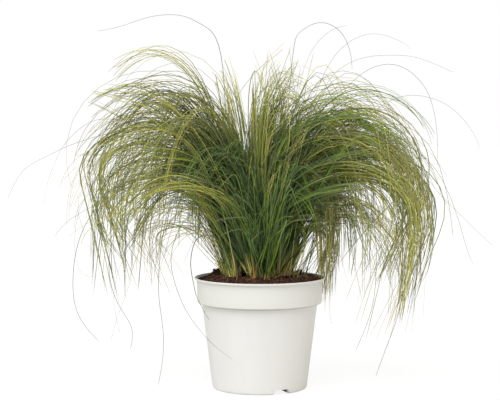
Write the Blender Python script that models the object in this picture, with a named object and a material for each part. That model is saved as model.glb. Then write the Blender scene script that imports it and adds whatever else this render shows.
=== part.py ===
"""A clump of fine arching grass in a round white nursery pot, in metres, +Z up.

The origin is on the pot's axis, at the surface that the pot stands on, and the front is -Y.
The grass is built as tufts. A tuft is a flat sheaf of blades that rises from the soil as one
body, forks into separate blades, arches over and hangs. Tufts stand in layers, the innermost
rising highest, and each tuft keeps to its own sector around the axis, so that none crosses
another. A few single stray blades run through the clear gaps between the sectors.
"""

import math
import random

import bmesh
import bpy
from mathutils import Vector

MM = 0.001
GAP = 0.3 * MM  # left between touching pieces

# Pot, from the rim down. Radii are of the outside.
POT_HEIGHT = 144.4 * MM
LIP_RADIUS = 85.0 * MM
LIP_DROP = 2.6 * MM
LIP_CHAMFER = 0.7 * MM
LIP_FILLET = 0.4 * MM
LIP_WALL = 1.2 * MM
LIP_FLARE = 2.3 * MM  # height over which the inside widens to the lip
BAND_TOP_RADIUS = 82.0 * MM
BAND_BOTTOM_RADIUS = 81.0 * MM
BAND_BOTTOM = 111.0 * MM
BAND_ROUNDING = 2.4 * MM
BODY_TOP_RADIUS = 75.2 * MM
BODY_BOTTOM_RADIUS = 61.3 * MM
FOOT_ROUNDING = 3.0 * MM
FOOT_INNER_RADIUS = 57.3 * MM
FOOT_DRAFT = 0.4 * MM
WALL = 1.6 * MM
FLOOR_UNDERSIDE = 7.6 * MM
TURNED_STEPS = 48

# Notches in the foot ring and drain holes in the floor.
NOTCH_COUNT = 3
NOTCH_FIRST_AZIMUTH = -63.0  # degrees from +X: 27 degrees to the right of the front
NOTCH_HEIGHT = 6.4 * MM
NOTCH_MOUTH = 24.0 * MM
NOTCH_TOP = 18.0 * MM
NOTCH_START = 9.0 * MM  # how far inside the foot ring a notch's cutter begins
NOTCH_DEPTH = 24.0 * MM
DRAIN_COUNT = 6
DRAIN_CIRCLE = 44.0 * MM
DRAIN_RADIUS = 4.5 * MM
DRAIN_SIDES = 12
OVERRUN = 2.0 * MM  # how far a cutter passes beyond the face it opens

# Soil: a level middle that the tufts stand on, then an edge that sinks in a hollow at the left.
SOIL_TOP = 144.5 * MM
SOIL_EDGE = 143.3 * MM
SOIL_LEVEL_RADIUS = 60.0 * MM
SOIL_RINGS = (60.0 * MM, 66.0 * MM, 72.0 * MM)
HOLLOW_DEPTH = 7.0 * MM
HOLLOW_AZIMUTH = 174.0  # degrees from +X
HOLLOW_SPREAD = 24.0  # degrees
CLOD_FADE = 4.0  # clods keep their height down to a quarter of the slope from the wall, then fade
# Clods: azimuth in degrees, distance from the axis, height and spread.
CLODS = (
    (141.0, 66.0 * MM, 8.0 * MM, 7.0 * MM),
    (150.0, 69.0 * MM, 7.0 * MM, 6.0 * MM),
    (118.0, 68.0 * MM, 4.0 * MM, 6.0 * MM),
    (40.0, 68.0 * MM, 6.0 * MM, 5.0 * MM),
    (205.0, 66.0 * MM, 2.5 * MM, 8.0 * MM),
    (262.0, 67.0 * MM, 2.0 * MM, 9.0 * MM),
    (318.0, 66.0 * MM, 3.0 * MM, 7.0 * MM),
)

# Tufts. All blades of a layer share one side view, an arch that is turned about the axis.
# root: distance of the roots from the axis. lean: degrees from upright at the root.
# bow: degrees added evenly along the blade. hang: degrees from upright at the tip.
# bend: the stretch of the blade, from 0 to 1, over which it turns from rising to hanging.
# rise: height of the arch above the soil. reach: its widest distance from the axis.
# steps: stations along each free blade.
LAYERS = {
    "crown_left": dict(root=6, lean=5, bow=12, hang=40, bend=(0.4, 1.1), rise=246, reach=48, steps=4),
    "crown_right": dict(root=6, lean=1, bow=8, hang=30, bend=(0.4, 1.1), rise=292, reach=54, steps=4),
    "left_top": dict(root=14, lean=9, bow=10, hang=132, bend=(0.3, 0.95), rise=284, reach=200, steps=6),
    "left_arch": dict(root=23, lean=11, bow=10, hang=172, bend=(0.2, 0.78), rise=238, reach=236, steps=7),
    "left_middle": dict(root=32, lean=16, bow=10, hang=166, bend=(0.22, 0.85), rise=178, reach=186, steps=6),
    "left_low": dict(root=41, lean=27, bow=10, hang=165, bend=(0.22, 0.85), rise=106, reach=148, steps=5),
    "right_top": dict(root=14, lean=9, bow=10, hang=135, bend=(0.3, 0.95), rise=272, reach=184, steps=6),
    "right_arch": dict(root=23, lean=11, bow=10, hang=174, bend=(0.18, 0.7), rise=226, reach=228, steps=7),
    "right_middle": dict(root=32, lean=16, bow=10, hang=168, bend=(0.22, 0.8), rise=168, reach=180, steps=6),
    "right_low": dict(root=41, lean=25, bow=10, hang=165, bend=(0.22, 0.85), rise=100, reach=140, steps=5),
    "front_inner": dict(root=16, lean=5, bow=12, hang=80, bend=(0.3, 1.0), rise=124, reach=56, steps=4),
    "front_outer": dict(root=31, lean=12, bow=10, hang=125, bend=(0.3, 1.0), rise=92, reach=90, steps=4),
    "back_inner": dict(root=16, lean=5, bow=12, hang=80, bend=(0.3, 1.0), rise=130, reach=60, steps=4),
    "back_outer": dict(root=31, lean=12, bow=10, hang=130, bend=(0.3, 1.0), rise=96, reach=96, steps=4),
    "rim_tuft": dict(root=50, lean=10, bow=8, hang=178, bend=(0.15, 0.6), rise=98, reach=103, steps=6),
}
# Which way each layer's tufts face, in degrees from +X, and how wide each one fans.
FACINGS = {
    "crown_left": ((168, 192), 20),
    "crown_right": ((-50, 0, 50), 36),
    "left_top": ((144, 168, 192, 216), 18),
    "left_arch": ((144, 168, 192, 216), 18),
    "left_middle": ((144, 168, 192, 216), 18),
    "left_low": ((168, 192, 216), 18),
    "right_top": ((-36, -12, 12, 36), 18),
    "right_arch": ((-36, -12, 12, 36), 18),
    "right_middle": ((-36, -12, 12, 36), 18),
    "right_low": ((-36, -12, 12), 18),
    "front_inner": ((242, 270, 298), 20),
    "front_outer": ((252, 288), 26),
    "back_inner": ((72, 108), 30),
    "back_outer": ((72, 108), 26),
    "rim_tuft": ((-24,), 4),
}
# Tufts that face towards the front or the back are smaller: share lost at 45 degrees from X.
TURNED_RISE_LOSS = 0.12
TURNED_REACH_LOSS = 0.16
BLADES_IN_TUFT = 3
BLADES_IN_RIM_TUFT = 2
FORK = 0.22  # share of the length at which a tuft parts into blades
BASE_STATIONS = (0.0, 0.11, FORK)
ROOT_THICKNESS = 4.6
FORK_THICKNESS = 3.4
TIP_THICKNESS = 0.9
BLADE_BULGE = 5.0  # extra width of a free blade at a third of its length, in mm
BLADE_TIP_WIDTH = 1.4
MOST_OF_SHARE = 0.9  # a free blade takes at most this much of its share of the fan
RIM_TUFT_SHARE = 0.5  # the rim tuft is this much thinner and narrower than the others
TIP_SPREAD = 0.16  # the shortest blade of a tuft ends this share before the longest
TIP_DRIFT = 5.0  # how far a free tip strays up or down from its layer, in mm
TIP_SWAY = 1.2  # how far a free tip strays sideways, in degrees
SIDE_VIEW_STEPS = 160
SEED = 7

# Single stray blades: way-points of distance from the axis, azimuth in degrees and height, in mm.
STRAY_ROOT = 145.0
STRAYS = {
    "stray_top_left": ((44, 156, STRAY_ROOT), (47, 156, 300), (54, 156, 445), (86, 156, 474),
                       (115, 156, 487), (160, 156, 486), (205, 156, 473), (241, 156, 468)),
    "stray_far_left": ((48, 204, STRAY_ROOT), (90, 204, 260), (160, 204, 335), (243, 204, 322),
                       (281, 204, 306), (316, 204, 288), (335, 204, 252)),
    "stray_left_curtain": ((48, 180, STRAY_ROOT), (85, 180, 235), (140, 180, 285), (200, 180, 250),
                           (236, 180, 195), (244, 180, 127), (234, 180, 88), (208, 180, 58)),
    "stray_left_back": ((49, 156, STRAY_ROOT), (82, 156, 230), (135, 156, 275), (190, 156, 240),
                        (226, 156, 165), (215, 156, 103), (187, 156, 68), (192, 156, 36)),
    "stray_left_front": ((44, 228, STRAY_ROOT), (75, 228, 250), (125, 228, 290), (170, 228, 240),
                         (186, 228, 150), (178, 228, 105), (176, 228, 65), (186, 228, 25)),
    "stray_before_pot": ((50, 228, STRAY_ROOT), (85, 228, 215), (130, 228, 235), (165, 228, 190),
                         (156, 228, 147), (140, 229, 115), (118, 238, 78), (97, 252, 50)),
    "stray_top_loop": ((44, 48, STRAY_ROOT), (50, 48, 300), (66, 48, 441), (81, 48, 465),
                       (122, 48, 481), (166, 48, 471), (188, 48, 444), (193, 48, 417)),
    "stray_top_right": ((42, 24, STRAY_ROOT), (52, 24, 270), (90, 24, 390), (139, 24, 428),
                        (192, 24, 435), (238, 24, 432), (294, 24, 412)),
    "stray_high_right": ((48, 24, STRAY_ROOT), (85, 24, 240), (150, 24, 345), (205, 24, 380),
                         (254, 24, 379), (294, 24, 362), (327, 24, 327), (335, 24, 306)),
    "stray_far_right": ((44, 0, STRAY_ROOT), (80, 0, 250), (150, 0, 310), (205, 0, 285),
                        (234, 0, 251), (254, 0, 232), (280, 0, 206), (306, 0, 183)),
    "stray_right_front": ((42, -24, STRAY_ROOT), (58, -24, 250), (100, -24, 300), (140, -24, 275),
                          (158, -24, 215), (160, -24, 160), (155, -24, 109), (132, -24, 54)),
    "stray_right_low": ((49, 0, STRAY_ROOT), (85, 0, 215), (135, 0, 245), (175, 0, 205),
                        (186, 0, 150), (183, 0, 101), (164, 0, 49), (151, 0, 12)),
}
STRAY_ROOT_RADIUS = 0.9
STRAY_TIP_RADIUS = 0.4
STRAY_STEPS_PER_SPAN = 2
STRAY_SIDES = 3

# Finishes: colour, roughness.
WHITE_PLASTIC = ((0.84, 0.84, 0.82), 0.38)
DARK_PEAT = ((0.050, 0.026, 0.020), 0.95)
GRASS_FINISHES = {
    "crown": ((0.12, 0.24, 0.04), 0.6),
    "top": ((0.22, 0.27, 0.08), 0.6),
    "arch": ((0.25, 0.28, 0.10), 0.62),
    "middle": ((0.10, 0.20, 0.04), 0.6),
    "low": ((0.15, 0.22, 0.06), 0.6),
    "inner": ((0.06, 0.14, 0.03), 0.6),
    "outer": ((0.10, 0.24, 0.04), 0.58),
    "tuft": ((0.30, 0.30, 0.12), 0.62),
    "stray": ((0.33, 0.31, 0.15), 0.65),
}


def clear_scene():
    for old in list(bpy.data.objects):
        bpy.data.objects.remove(old, do_unlink=True)


def finish(name, colour, roughness):
    """A plain Principled material."""
    material = bpy.data.materials.new(name)
    material.use_nodes = True
    shader = material.node_tree.nodes["Principled BSDF"]
    shader.inputs["Base Color"].default_value = (*colour, 1.0)
    shader.inputs["Roughness"].default_value = roughness
    shader.inputs["Metallic"].default_value = 0.0
    return material


def place(name, mesh_data, material):
    """Turn a finished bmesh into a named object with its faces pointing outwards."""
    bmesh.ops.recalc_face_normals(mesh_data, faces=mesh_data.faces)
    mesh = bpy.data.meshes.new(name)
    mesh_data.to_mesh(mesh)
    mesh_data.free()
    piece = bpy.data.objects.new(name, mesh)
    bpy.context.scene.collection.objects.link(piece)
    piece.data.materials.append(material)
    return piece


def polar(radius, azimuth, height):
    """The point at a distance from the axis, an azimuth in radians and a height."""
    return Vector((radius * math.cos(azimuth), radius * math.sin(azimuth), height))


# Pot

def rounded(corner, before, after, radius, points):
    """Points on the arc that rounds a corner between its two straight neighbours."""
    to_before = (before - corner).normalized()
    to_after = (after - corner).normalized()
    half = to_before.angle(to_after) / 2
    run = radius / math.tan(half)
    centre = corner + (to_before + to_after).normalized() * radius / math.sin(half)
    start = corner + to_before * run - centre
    end = corner + to_after * run - centre
    arc = []
    for step in range(points):
        share = step / (points - 1)
        arc.append(centre + start.lerp(end, share).normalized() * radius)
    return arc


def pot_outline():
    """The pot's section as (radius, height), down the outside and back up the inside."""
    def at(radius, height):
        return Vector((radius, 0.0, height))

    lip_under = POT_HEIGHT - LIP_DROP
    slope = (BODY_TOP_RADIUS - BODY_BOTTOM_RADIUS) / BAND_BOTTOM
    floor_top = FLOOR_UNDERSIDE + WALL
    band_corner = at(BAND_BOTTOM_RADIUS, BAND_BOTTOM)
    band_top = at(BAND_TOP_RADIUS, lip_under)
    body_top = at(BODY_TOP_RADIUS, BAND_BOTTOM)
    foot_corner = at(BODY_BOTTOM_RADIUS, 0.0)
    foot_inner = at(FOOT_INNER_RADIUS, 0.0)
    outline = [
        at(LIP_RADIUS - LIP_WALL, POT_HEIGHT),
        at(LIP_RADIUS - LIP_CHAMFER, POT_HEIGHT),
        at(LIP_RADIUS, POT_HEIGHT - LIP_CHAMFER),
        at(LIP_RADIUS, lip_under + LIP_FILLET),
        band_top,
    ]
    outline += rounded(band_corner, band_top, body_top, BAND_ROUNDING, 3)
    outline.append(body_top)
    outline += rounded(foot_corner, body_top, foot_inner, FOOT_ROUNDING, 3)
    outline += [
        foot_inner,
        at(FOOT_INNER_RADIUS + FOOT_DRAFT, FLOOR_UNDERSIDE),
        at(0.0, FLOOR_UNDERSIDE),
        at(0.0, floor_top),
        at(BODY_BOTTOM_RADIUS + slope * floor_top - WALL, floor_top),
        at(BODY_TOP_RADIUS - WALL, BAND_BOTTOM + WALL),
        at(BAND_BOTTOM_RADIUS - WALL, BAND_BOTTOM + WALL),
        at(BAND_TOP_RADIUS - WALL, POT_HEIGHT - LIP_FLARE),
    ]
    return outline


def pot_inside_radius(height):
    """Radius of the pot's inner wall at a height between its floor and its rim, without the flare."""
    shelf = BAND_BOTTOM + WALL
    if height < shelf:
        slope = (BODY_TOP_RADIUS - BODY_BOTTOM_RADIUS) / BAND_BOTTOM
        return BODY_BOTTOM_RADIUS + slope * height - WALL
    share = (height - shelf) / (POT_HEIGHT - shelf)
    return BAND_BOTTOM_RADIUS + (BAND_TOP_RADIUS - BAND_BOTTOM_RADIUS) * share - WALL


def turned(name, outline, material):
    """A closed body turned about the axis from an outline in the XZ plane."""
    shape = bmesh.new()
    corners = [shape.verts.new(point) for point in outline]
    edges = [shape.edges.new((a, b)) for a, b in zip(corners, corners[1:])]
    if outline[0].x > 0:
        edges.append(shape.edges.new((corners[-1], corners[0])))
    bmesh.ops.spin(
        shape,
        geom=corners + edges,
        axis=(0, 0, 1),
        cent=(0, 0, 0),
        angle=math.tau,
        steps=TURNED_STEPS,
        use_merge=True,
    )
    bmesh.ops.remove_doubles(shape, verts=shape.verts, dist=0.001 * MM)
    return place(name, shape, material)


def cut(piece, cutter):
    """Take a cutter away from a piece with a live Boolean."""
    cutter.hide_render = True
    cutter.display_type = "WIRE"
    boolean = piece.modifiers.new(cutter.name, "BOOLEAN")
    boolean.operation = "DIFFERENCE"
    boolean.solver = "EXACT"
    boolean.object = cutter


def prism(name, corners, depth_direction, material):
    """A closed prism: a polygon carried along a direction."""
    shape = bmesh.new()
    near = [shape.verts.new(point) for point in corners]
    face = shape.faces.new(near)
    grown = bmesh.ops.extrude_face_region(shape, geom=[face])
    far = [item for item in grown["geom"] if isinstance(item, bmesh.types.BMVert)]
    bmesh.ops.translate(shape, verts=far, vec=depth_direction)
    return place(name, shape, material)


def notch_cutter(index, material):
    """A slot with slanting sides through the foot ring, square to its own radius."""
    azimuth = math.radians(NOTCH_FIRST_AZIMUTH + index * 360.0 / NOTCH_COUNT)
    outward = Vector((math.cos(azimuth), math.sin(azimuth), 0.0))
    sideways = Vector((-outward.y, outward.x, 0.0))
    inner = outward * (FOOT_INNER_RADIUS - NOTCH_START)
    section = (
        (-NOTCH_MOUTH, -OVERRUN),
        (NOTCH_MOUTH, -OVERRUN),
        (NOTCH_TOP, NOTCH_HEIGHT),
        (-NOTCH_TOP, NOTCH_HEIGHT),
    )
    corners = [inner + sideways * across / 2 + Vector((0, 0, up)) for across, up in section]
    return prism(f"notch_cutter_{index + 1}", corners, outward * NOTCH_DEPTH, material)


def drain_cutter(index, material):
    """A round punch through the floor. Two stand at 30 degrees to either side of each notch."""
    azimuth = math.radians(NOTCH_FIRST_AZIMUTH) + (index + 0.5) * math.tau / DRAIN_COUNT
    centre = polar(DRAIN_CIRCLE, azimuth, FLOOR_UNDERSIDE - OVERRUN)
    corners = []
    for side in range(DRAIN_SIDES):
        angle = side * math.tau / DRAIN_SIDES
        corners.append(centre + DRAIN_RADIUS * Vector((math.cos(angle), math.sin(angle), 0.0)))
    through_floor = Vector((0, 0, WALL + 2 * OVERRUN))
    return prism(f"drain_cutter_{index + 1}", corners, through_floor, material)


def make_pot():
    """The turned pot with its notches and drain holes cut."""
    plastic = finish("white_plastic", *WHITE_PLASTIC)
    pot = turned("pot", pot_outline(), plastic)
    for index in range(NOTCH_COUNT):
        cut(pot, notch_cutter(index, plastic))
    for index in range(DRAIN_COUNT):
        cut(pot, drain_cutter(index, plastic))


# Soil

def soil_edge_height(azimuth):
    """Height of the soil at the wall."""
    away = (math.degrees(azimuth) - HOLLOW_AZIMUTH + 180.0) % 360.0 - 180.0
    return SOIL_EDGE - HOLLOW_DEPTH * math.exp(-((away / HOLLOW_SPREAD) ** 2))


def soil_height(radius, azimuth, edge_radius):
    """Height of the soil: level in the middle, eased to its edge, with clods between the two."""
    if radius <= SOIL_LEVEL_RADIUS:
        return SOIL_TOP
    share = (radius - SOIL_LEVEL_RADIUS) / (edge_radius - SOIL_LEVEL_RADIUS)
    eased = share * share * (3 - 2 * share)
    height = SOIL_TOP + (soil_edge_height(azimuth) - SOIL_TOP) * eased
    here = polar(radius, azimuth, 0.0)
    for degrees, distance, clod_height, spread in CLODS:
        away = (here - polar(distance, math.radians(degrees), 0.0)).length
        fade = min(1.0, CLOD_FADE * (1 - share))
        height += clod_height * math.exp(-((away / spread) ** 2)) * fade
    return height


def make_soil():
    """A plug that fills the pot from its floor, with the same number of sides as the pot."""
    wall_gap = 1.5 * GAP
    floor = FLOOR_UNDERSIDE + WALL + GAP
    shelf = BAND_BOTTOM + WALL + GAP
    wall = (
        (pot_inside_radius(floor) - wall_gap, floor),
        (pot_inside_radius(shelf - 2 * GAP) - wall_gap, shelf),
        (pot_inside_radius(shelf) - wall_gap, shelf),
    )
    azimuths = [step * math.tau / TURNED_STEPS for step in range(TURNED_STEPS)]
    shape = bmesh.new()
    rings = []
    for radius, height in wall:
        rings.append([shape.verts.new(polar(radius, azimuth, height)) for azimuth in azimuths])
    edge = []
    for azimuth in azimuths:
        height = soil_edge_height(azimuth)
        edge.append(shape.verts.new(polar(pot_inside_radius(height) - wall_gap, azimuth, height)))
    rings.append(edge)
    edge_radius = pot_inside_radius(SOIL_EDGE) - wall_gap
    for radius in reversed(SOIL_RINGS):
        ring = []
        for azimuth in azimuths:
            height = soil_height(radius, azimuth, edge_radius)
            ring.append(shape.verts.new(polar(radius, azimuth, height)))
        rings.append(ring)
    for low, high in zip(rings, rings[1:]):
        for step in range(TURNED_STEPS):
            after = (step + 1) % TURNED_STEPS
            shape.faces.new((low[step], low[after], high[after], high[step]))
    shape.faces.new(rings[0])
    shape.faces.new(rings[-1])
    place("soil", shape, finish("dark_peat", *DARK_PEAT))


# Grass

def side_view(layer, rise, reach):
    """Distances from the axis, heights and directions of an arching blade, root to tip.

    The angle from upright grows evenly by the bow, and eases from rising to hanging over the
    bend. The curve that follows it is scaled to the wanted rise and reach."""
    bend_start, bend_end = layer["bend"]
    turn = layer["hang"] - layer["lean"] - layer["bow"]
    out, up = [0.0], [0.0]
    for step in range(SIDE_VIEW_STEPS):
        along = (step + 0.5) / SIDE_VIEW_STEPS
        share = min(1.0, max(0.0, (along - bend_start) / (bend_end - bend_start)))
        eased = share * share * (3 - 2 * share)
        angle = math.radians(layer["lean"] + layer["bow"] * along + turn * eased)
        out.append(out[-1] + math.sin(angle))
        up.append(up[-1] + math.cos(angle))
    wide = (reach - layer["root"]) / max(out)
    tall = rise / max(up)
    line = []
    for across, high in zip(out, up):
        line.append(Vector((layer["root"] + wide * across, tall * high)))
    return line


def on_line(line, along):
    """The point of a side view at a share of its length, and the direction across the blade."""
    place_on = along * SIDE_VIEW_STEPS
    index = min(int(place_on), SIDE_VIEW_STEPS - 1)
    point = line[index].lerp(line[index + 1], place_on - index)
    ahead = (line[min(index + 2, SIDE_VIEW_STEPS)] - line[max(index - 1, 0)]).normalized()
    return point, Vector((ahead.y, -ahead.x))


def blade_section(shape, point, across, thickness, azimuths):
    """Two rows of corners, inner and outer, at one station of a tuft or blade."""
    rows = []
    for side in (-0.5, 0.5):
        spot = point + across * thickness * side
        height = SOIL_TOP + GAP + spot.y * MM
        rows.append([shape.verts.new(polar(spot.x * MM, azimuth, height)) for azimuth in azimuths])
    return rows


def tuft_base(shape, line, facing, fan, blades, slim):
    """The joined foot of a tuft. Returns its last section, where the blades part."""
    azimuths = [facing + fan * (column / blades - 0.5) for column in range(blades + 1)]
    last = None
    for along in BASE_STATIONS:
        share = along / FORK
        thickness = slim * (ROOT_THICKNESS + (FORK_THICKNESS - ROOT_THICKNESS) * share)
        point, across = on_line(line, along)
        if along == 0.0:
            across = Vector((1.0, 0.0))
        inner, outer = blade_section(shape, point, across, thickness, azimuths)
        if last is None:
            shape.faces.new(inner + outer[::-1])
        else:
            for row, below in ((inner, last[0]), (outer, last[1])):
                for column in range(blades):
                    shape.faces.new((below[column], below[column + 1], row[column + 1], row[column]))
            for column in (0, blades):
                shape.faces.new((last[0][column], last[1][column], outer[column], inner[column]))
        last = (inner, outer)
    return last


def free_blade(shape, line, start, steps, facing, fan, slim, end, drift, sway):
    """One blade from the fork to its pointed tip: widest at a third, drifting off its layer."""
    fork_point, _ = on_line(line, FORK)
    fork_width = fork_point.x * fan
    last = start
    for step in range(1, steps):
        share = step / steps
        point, across = on_line(line, FORK + (end - FORK) * share)
        point = point + Vector((0.0, drift * share * share))
        bulge = slim * BLADE_BULGE * 4 * share * (1 - share)
        width = (fork_width + bulge) * (1 - share)
        width += BLADE_TIP_WIDTH * slim * share
        thickness = slim * (FORK_THICKNESS + (TIP_THICKNESS - FORK_THICKNESS) * share)
        middle = facing + math.radians(sway) * share * share
        half = min(width / point.x, fan * MOST_OF_SHARE) / 2
        inner, outer = blade_section(shape, point, across, thickness, (middle - half, middle + half))
        ring = (inner[0], inner[1], outer[1], outer[0])
        for corner in range(4):
            after = (corner + 1) % 4
            shape.faces.new((last[corner], last[after], ring[after], ring[corner]))
        last = ring
    point, _ = on_line(line, end)
    tip = shape.verts.new(polar(
        point.x * MM, facing + math.radians(sway), SOIL_TOP + GAP + (point.y + drift) * MM))
    for corner in range(4):
        shape.faces.new((last[corner], last[(corner + 1) % 4], tip))


def make_tuft(name, layer_name, degrees, fan_degrees, chance, material):
    """A tuft of one layer facing one way, smaller the further it faces from the X axis."""
    layer = LAYERS[layer_name]
    facing = math.radians(degrees)
    fan = math.radians(fan_degrees)
    turned_away = 0.0
    if layer_name.startswith(("left", "right")):
        turned_away = 2 * math.sin(facing) ** 2
    rise = layer["rise"] * (1 - TURNED_RISE_LOSS * turned_away)
    reach = layer["reach"] * (1 - TURNED_REACH_LOSS * turned_away)
    is_rim = layer_name == "rim_tuft"
    blades = BLADES_IN_RIM_TUFT if is_rim else BLADES_IN_TUFT
    slim = RIM_TUFT_SHARE if is_rim else 1.0
    line = side_view(layer, rise, reach)
    shape = bmesh.new()
    inner, outer = tuft_base(shape, line, facing, fan, blades, slim)
    longest = chance.randrange(blades)
    for blade in range(blades):
        start = (inner[blade], inner[blade + 1], outer[blade + 1], outer[blade])
        share = fan / blades
        middle = facing + share * (blade + 0.5 - blades / 2)
        shortened = 0.0 if blade == longest else TIP_SPREAD * chance.uniform(0.2, 1.0)
        drift = chance.uniform(-1.0, 1.0) * TIP_DRIFT * slim
        sway = chance.uniform(-1.0, 1.0) * TIP_SWAY * slim
        free_blade(shape, line, start, layer["steps"], middle, share, slim, 1.0 - shortened, drift, sway)
    place(name, shape, material)


def make_tufts():
    """All the layers' tufts, with one seeded source of chance for their tips."""
    chance = random.Random(SEED)
    for layer_name, (facings, fan) in FACINGS.items():
        kind = layer_name.split("_")[0 if layer_name.startswith("crown") else 1]
        material = finish(f"{layer_name}_grass", *GRASS_FINISHES[kind])
        for index, degrees in enumerate(facings):
            name = layer_name if len(facings) == 1 else f"{layer_name}_{index + 1}"
            make_tuft(name, layer_name, degrees, fan, chance, material)


# Stray blades

def through(points, steps):
    """A smooth curve through way-points: a Catmull-Rom spline with the ends continued straight."""
    ends = [points[0] * 2 - points[1]] + points + [points[-1] * 2 - points[-2]]
    curve = []
    for a, b, c, d in zip(ends, ends[1:], ends[2:], ends[3:]):
        for step in range(steps):
            t = step / steps
            curve.append(0.5 * (2 * b + (c - a) * t + (2 * a - 5 * b + 4 * c - d) * t ** 2
                                + (3 * b - a - 3 * c + d) * t ** 3))
    curve.append(points[-1])
    return curve


def make_stray(name, way_points, material):
    """A single long blade: a thin round taper along its way-points, ending in a point."""
    points = []
    for distance, degrees, height in way_points:
        points.append(polar(distance, math.radians(degrees), height) * MM)
    curve = through(points, STRAY_STEPS_PER_SPAN)
    azimuth = math.radians(way_points[0][1])
    sideways = Vector((-math.sin(azimuth), math.cos(azimuth), 0.0))
    shape = bmesh.new()
    rings = []
    for index, point in enumerate(curve[:-1]):
        share = index / (len(curve) - 1)
        radius = (STRAY_ROOT_RADIUS + (STRAY_TIP_RADIUS - STRAY_ROOT_RADIUS) * share) * MM
        ahead = (curve[index + 1] - curve[max(index - 1, 0)]).normalized()
        if index == 0:
            ahead = Vector((0.0, 0.0, 1.0))
        normal = sideways.cross(ahead).normalized()
        ring = []
        for side in range(STRAY_SIDES):
            angle = side * math.tau / STRAY_SIDES
            outwards = sideways * math.cos(angle) + normal * math.sin(angle)
            ring.append(shape.verts.new(point + radius * outwards))
        rings.append(ring)
    for low, high in zip(rings, rings[1:]):
        for side in range(STRAY_SIDES):
            after = (side + 1) % STRAY_SIDES
            shape.faces.new((low[side], low[after], high[after], high[side]))
    tip = shape.verts.new(curve[-1])
    for side in range(STRAY_SIDES):
        shape.faces.new((rings[-1][side], rings[-1][(side + 1) % STRAY_SIDES], tip))
    shape.faces.new(rings[0])
    place(name, shape, material)


def make_strays():
    """All the stray blades, in one finish."""
    material = finish("stray_grass", *GRASS_FINISHES["stray"])
    for name, way_points in STRAYS.items():
        make_stray(name, way_points, material)


clear_scene()
make_pot()
make_soil()
make_tufts()
make_strays()
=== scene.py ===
import math

import bpy
import numpy as np
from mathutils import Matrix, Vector


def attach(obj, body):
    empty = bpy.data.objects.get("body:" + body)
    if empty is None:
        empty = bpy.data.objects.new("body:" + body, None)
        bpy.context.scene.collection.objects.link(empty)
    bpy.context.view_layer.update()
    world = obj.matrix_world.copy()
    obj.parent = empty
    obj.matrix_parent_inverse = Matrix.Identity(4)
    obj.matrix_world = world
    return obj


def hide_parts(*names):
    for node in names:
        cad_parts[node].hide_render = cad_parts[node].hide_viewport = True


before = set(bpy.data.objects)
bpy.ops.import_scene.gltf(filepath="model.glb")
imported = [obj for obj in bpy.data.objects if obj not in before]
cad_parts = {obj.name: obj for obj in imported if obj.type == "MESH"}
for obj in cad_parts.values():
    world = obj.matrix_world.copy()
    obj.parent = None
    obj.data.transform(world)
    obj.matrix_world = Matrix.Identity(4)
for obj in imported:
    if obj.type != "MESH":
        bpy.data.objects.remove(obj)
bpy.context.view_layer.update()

mm = 0.001
chance = np.random.default_rng(1931)
print("frame loaded:", len(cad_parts), "nodes")


# Small tools

def linear(red, green, blue):
    # an sRGB colour of 0 to 255, made linear: ((c + 0.055) / 1.055) ^ 2.4 above the toe
    parts = np.array([red, green, blue]) / 255
    curve = np.where(parts <= 0.04045, parts / 12.92, ((parts + 0.055) / 1.055) ** 2.4)
    return (*map(float, curve), 1.0)


def ease(share):
    # 3t² - 2t³ of a share held between 0 and 1
    share = np.clip(share, 0, 1)
    return share * share * (3 - 2 * share)


def makePiece(name, points, corners, starts, material, flat=False, uv=None, sharpOver=None):
    # points (n, 3) in metres, corners: the point of each face corner, starts: each face's first corner
    mesh = bpy.data.meshes.new(name)
    mesh.vertices.add(len(points))
    mesh.vertices.foreach_set("co", np.ascontiguousarray(points, dtype=np.float32).ravel())
    mesh.loops.add(len(corners))
    mesh.loops.foreach_set("vertex_index", np.asarray(corners, dtype=np.int32))
    mesh.polygons.add(len(starts))
    mesh.polygons.foreach_set("loop_start", np.asarray(starts, dtype=np.int32))
    mesh.polygons.foreach_set("use_smooth", np.full(len(starts), not flat))
    if uv is not None:
        layer = mesh.uv_layers.new(name="OFBake")
        layer.uv.foreach_set("vector", np.ascontiguousarray(uv, dtype=np.float32).ravel())
    mesh.update(calc_edges=True)
    mesh.validate()
    if sharpOver is not None:
        mesh.set_sharp_from_angle(angle=math.radians(sharpOver))
    mesh.materials.append(material)
    piece = bpy.data.objects.new(name, mesh)
    bpy.context.scene.collection.objects.link(piece)
    return piece


def weldTriangles(parts):
    # triangles (t, 3, 3) of several patches in one list: corners that fall together become one point
    step = 0.001 * mm
    spots = np.round(np.concatenate(parts).reshape(-1, 3) / step)
    keys, corners = np.unique(spots, axis=0, return_inverse=True)
    corners = corners.reshape(-1, 3)
    a, b, c = corners.T
    corners = corners[(a != b) & (b != c) & (a != c)]
    return keys * step, corners.ravel(), np.arange(len(corners)) * 3


def gridTriangles(grid):
    # a grid of points (rows, columns, 3), open at all sides, as two triangles a cell
    a, b = grid[:-1, :-1], grid[:-1, 1:]
    c, d = grid[1:, 1:], grid[1:, :-1]
    return np.concatenate([np.stack(trio, 2).reshape(-1, 3, 3) for trio in ([a, b, c], [a, c, d])])


def around(radius, azimuth, height):
    # points at a distance from the axis, an azimuth in degrees and a height
    radius, azimuth, height = np.broadcast_arrays(radius, np.radians(azimuth), height)
    return np.stack([radius * np.cos(azimuth), radius * np.sin(azimuth), height], -1)


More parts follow.
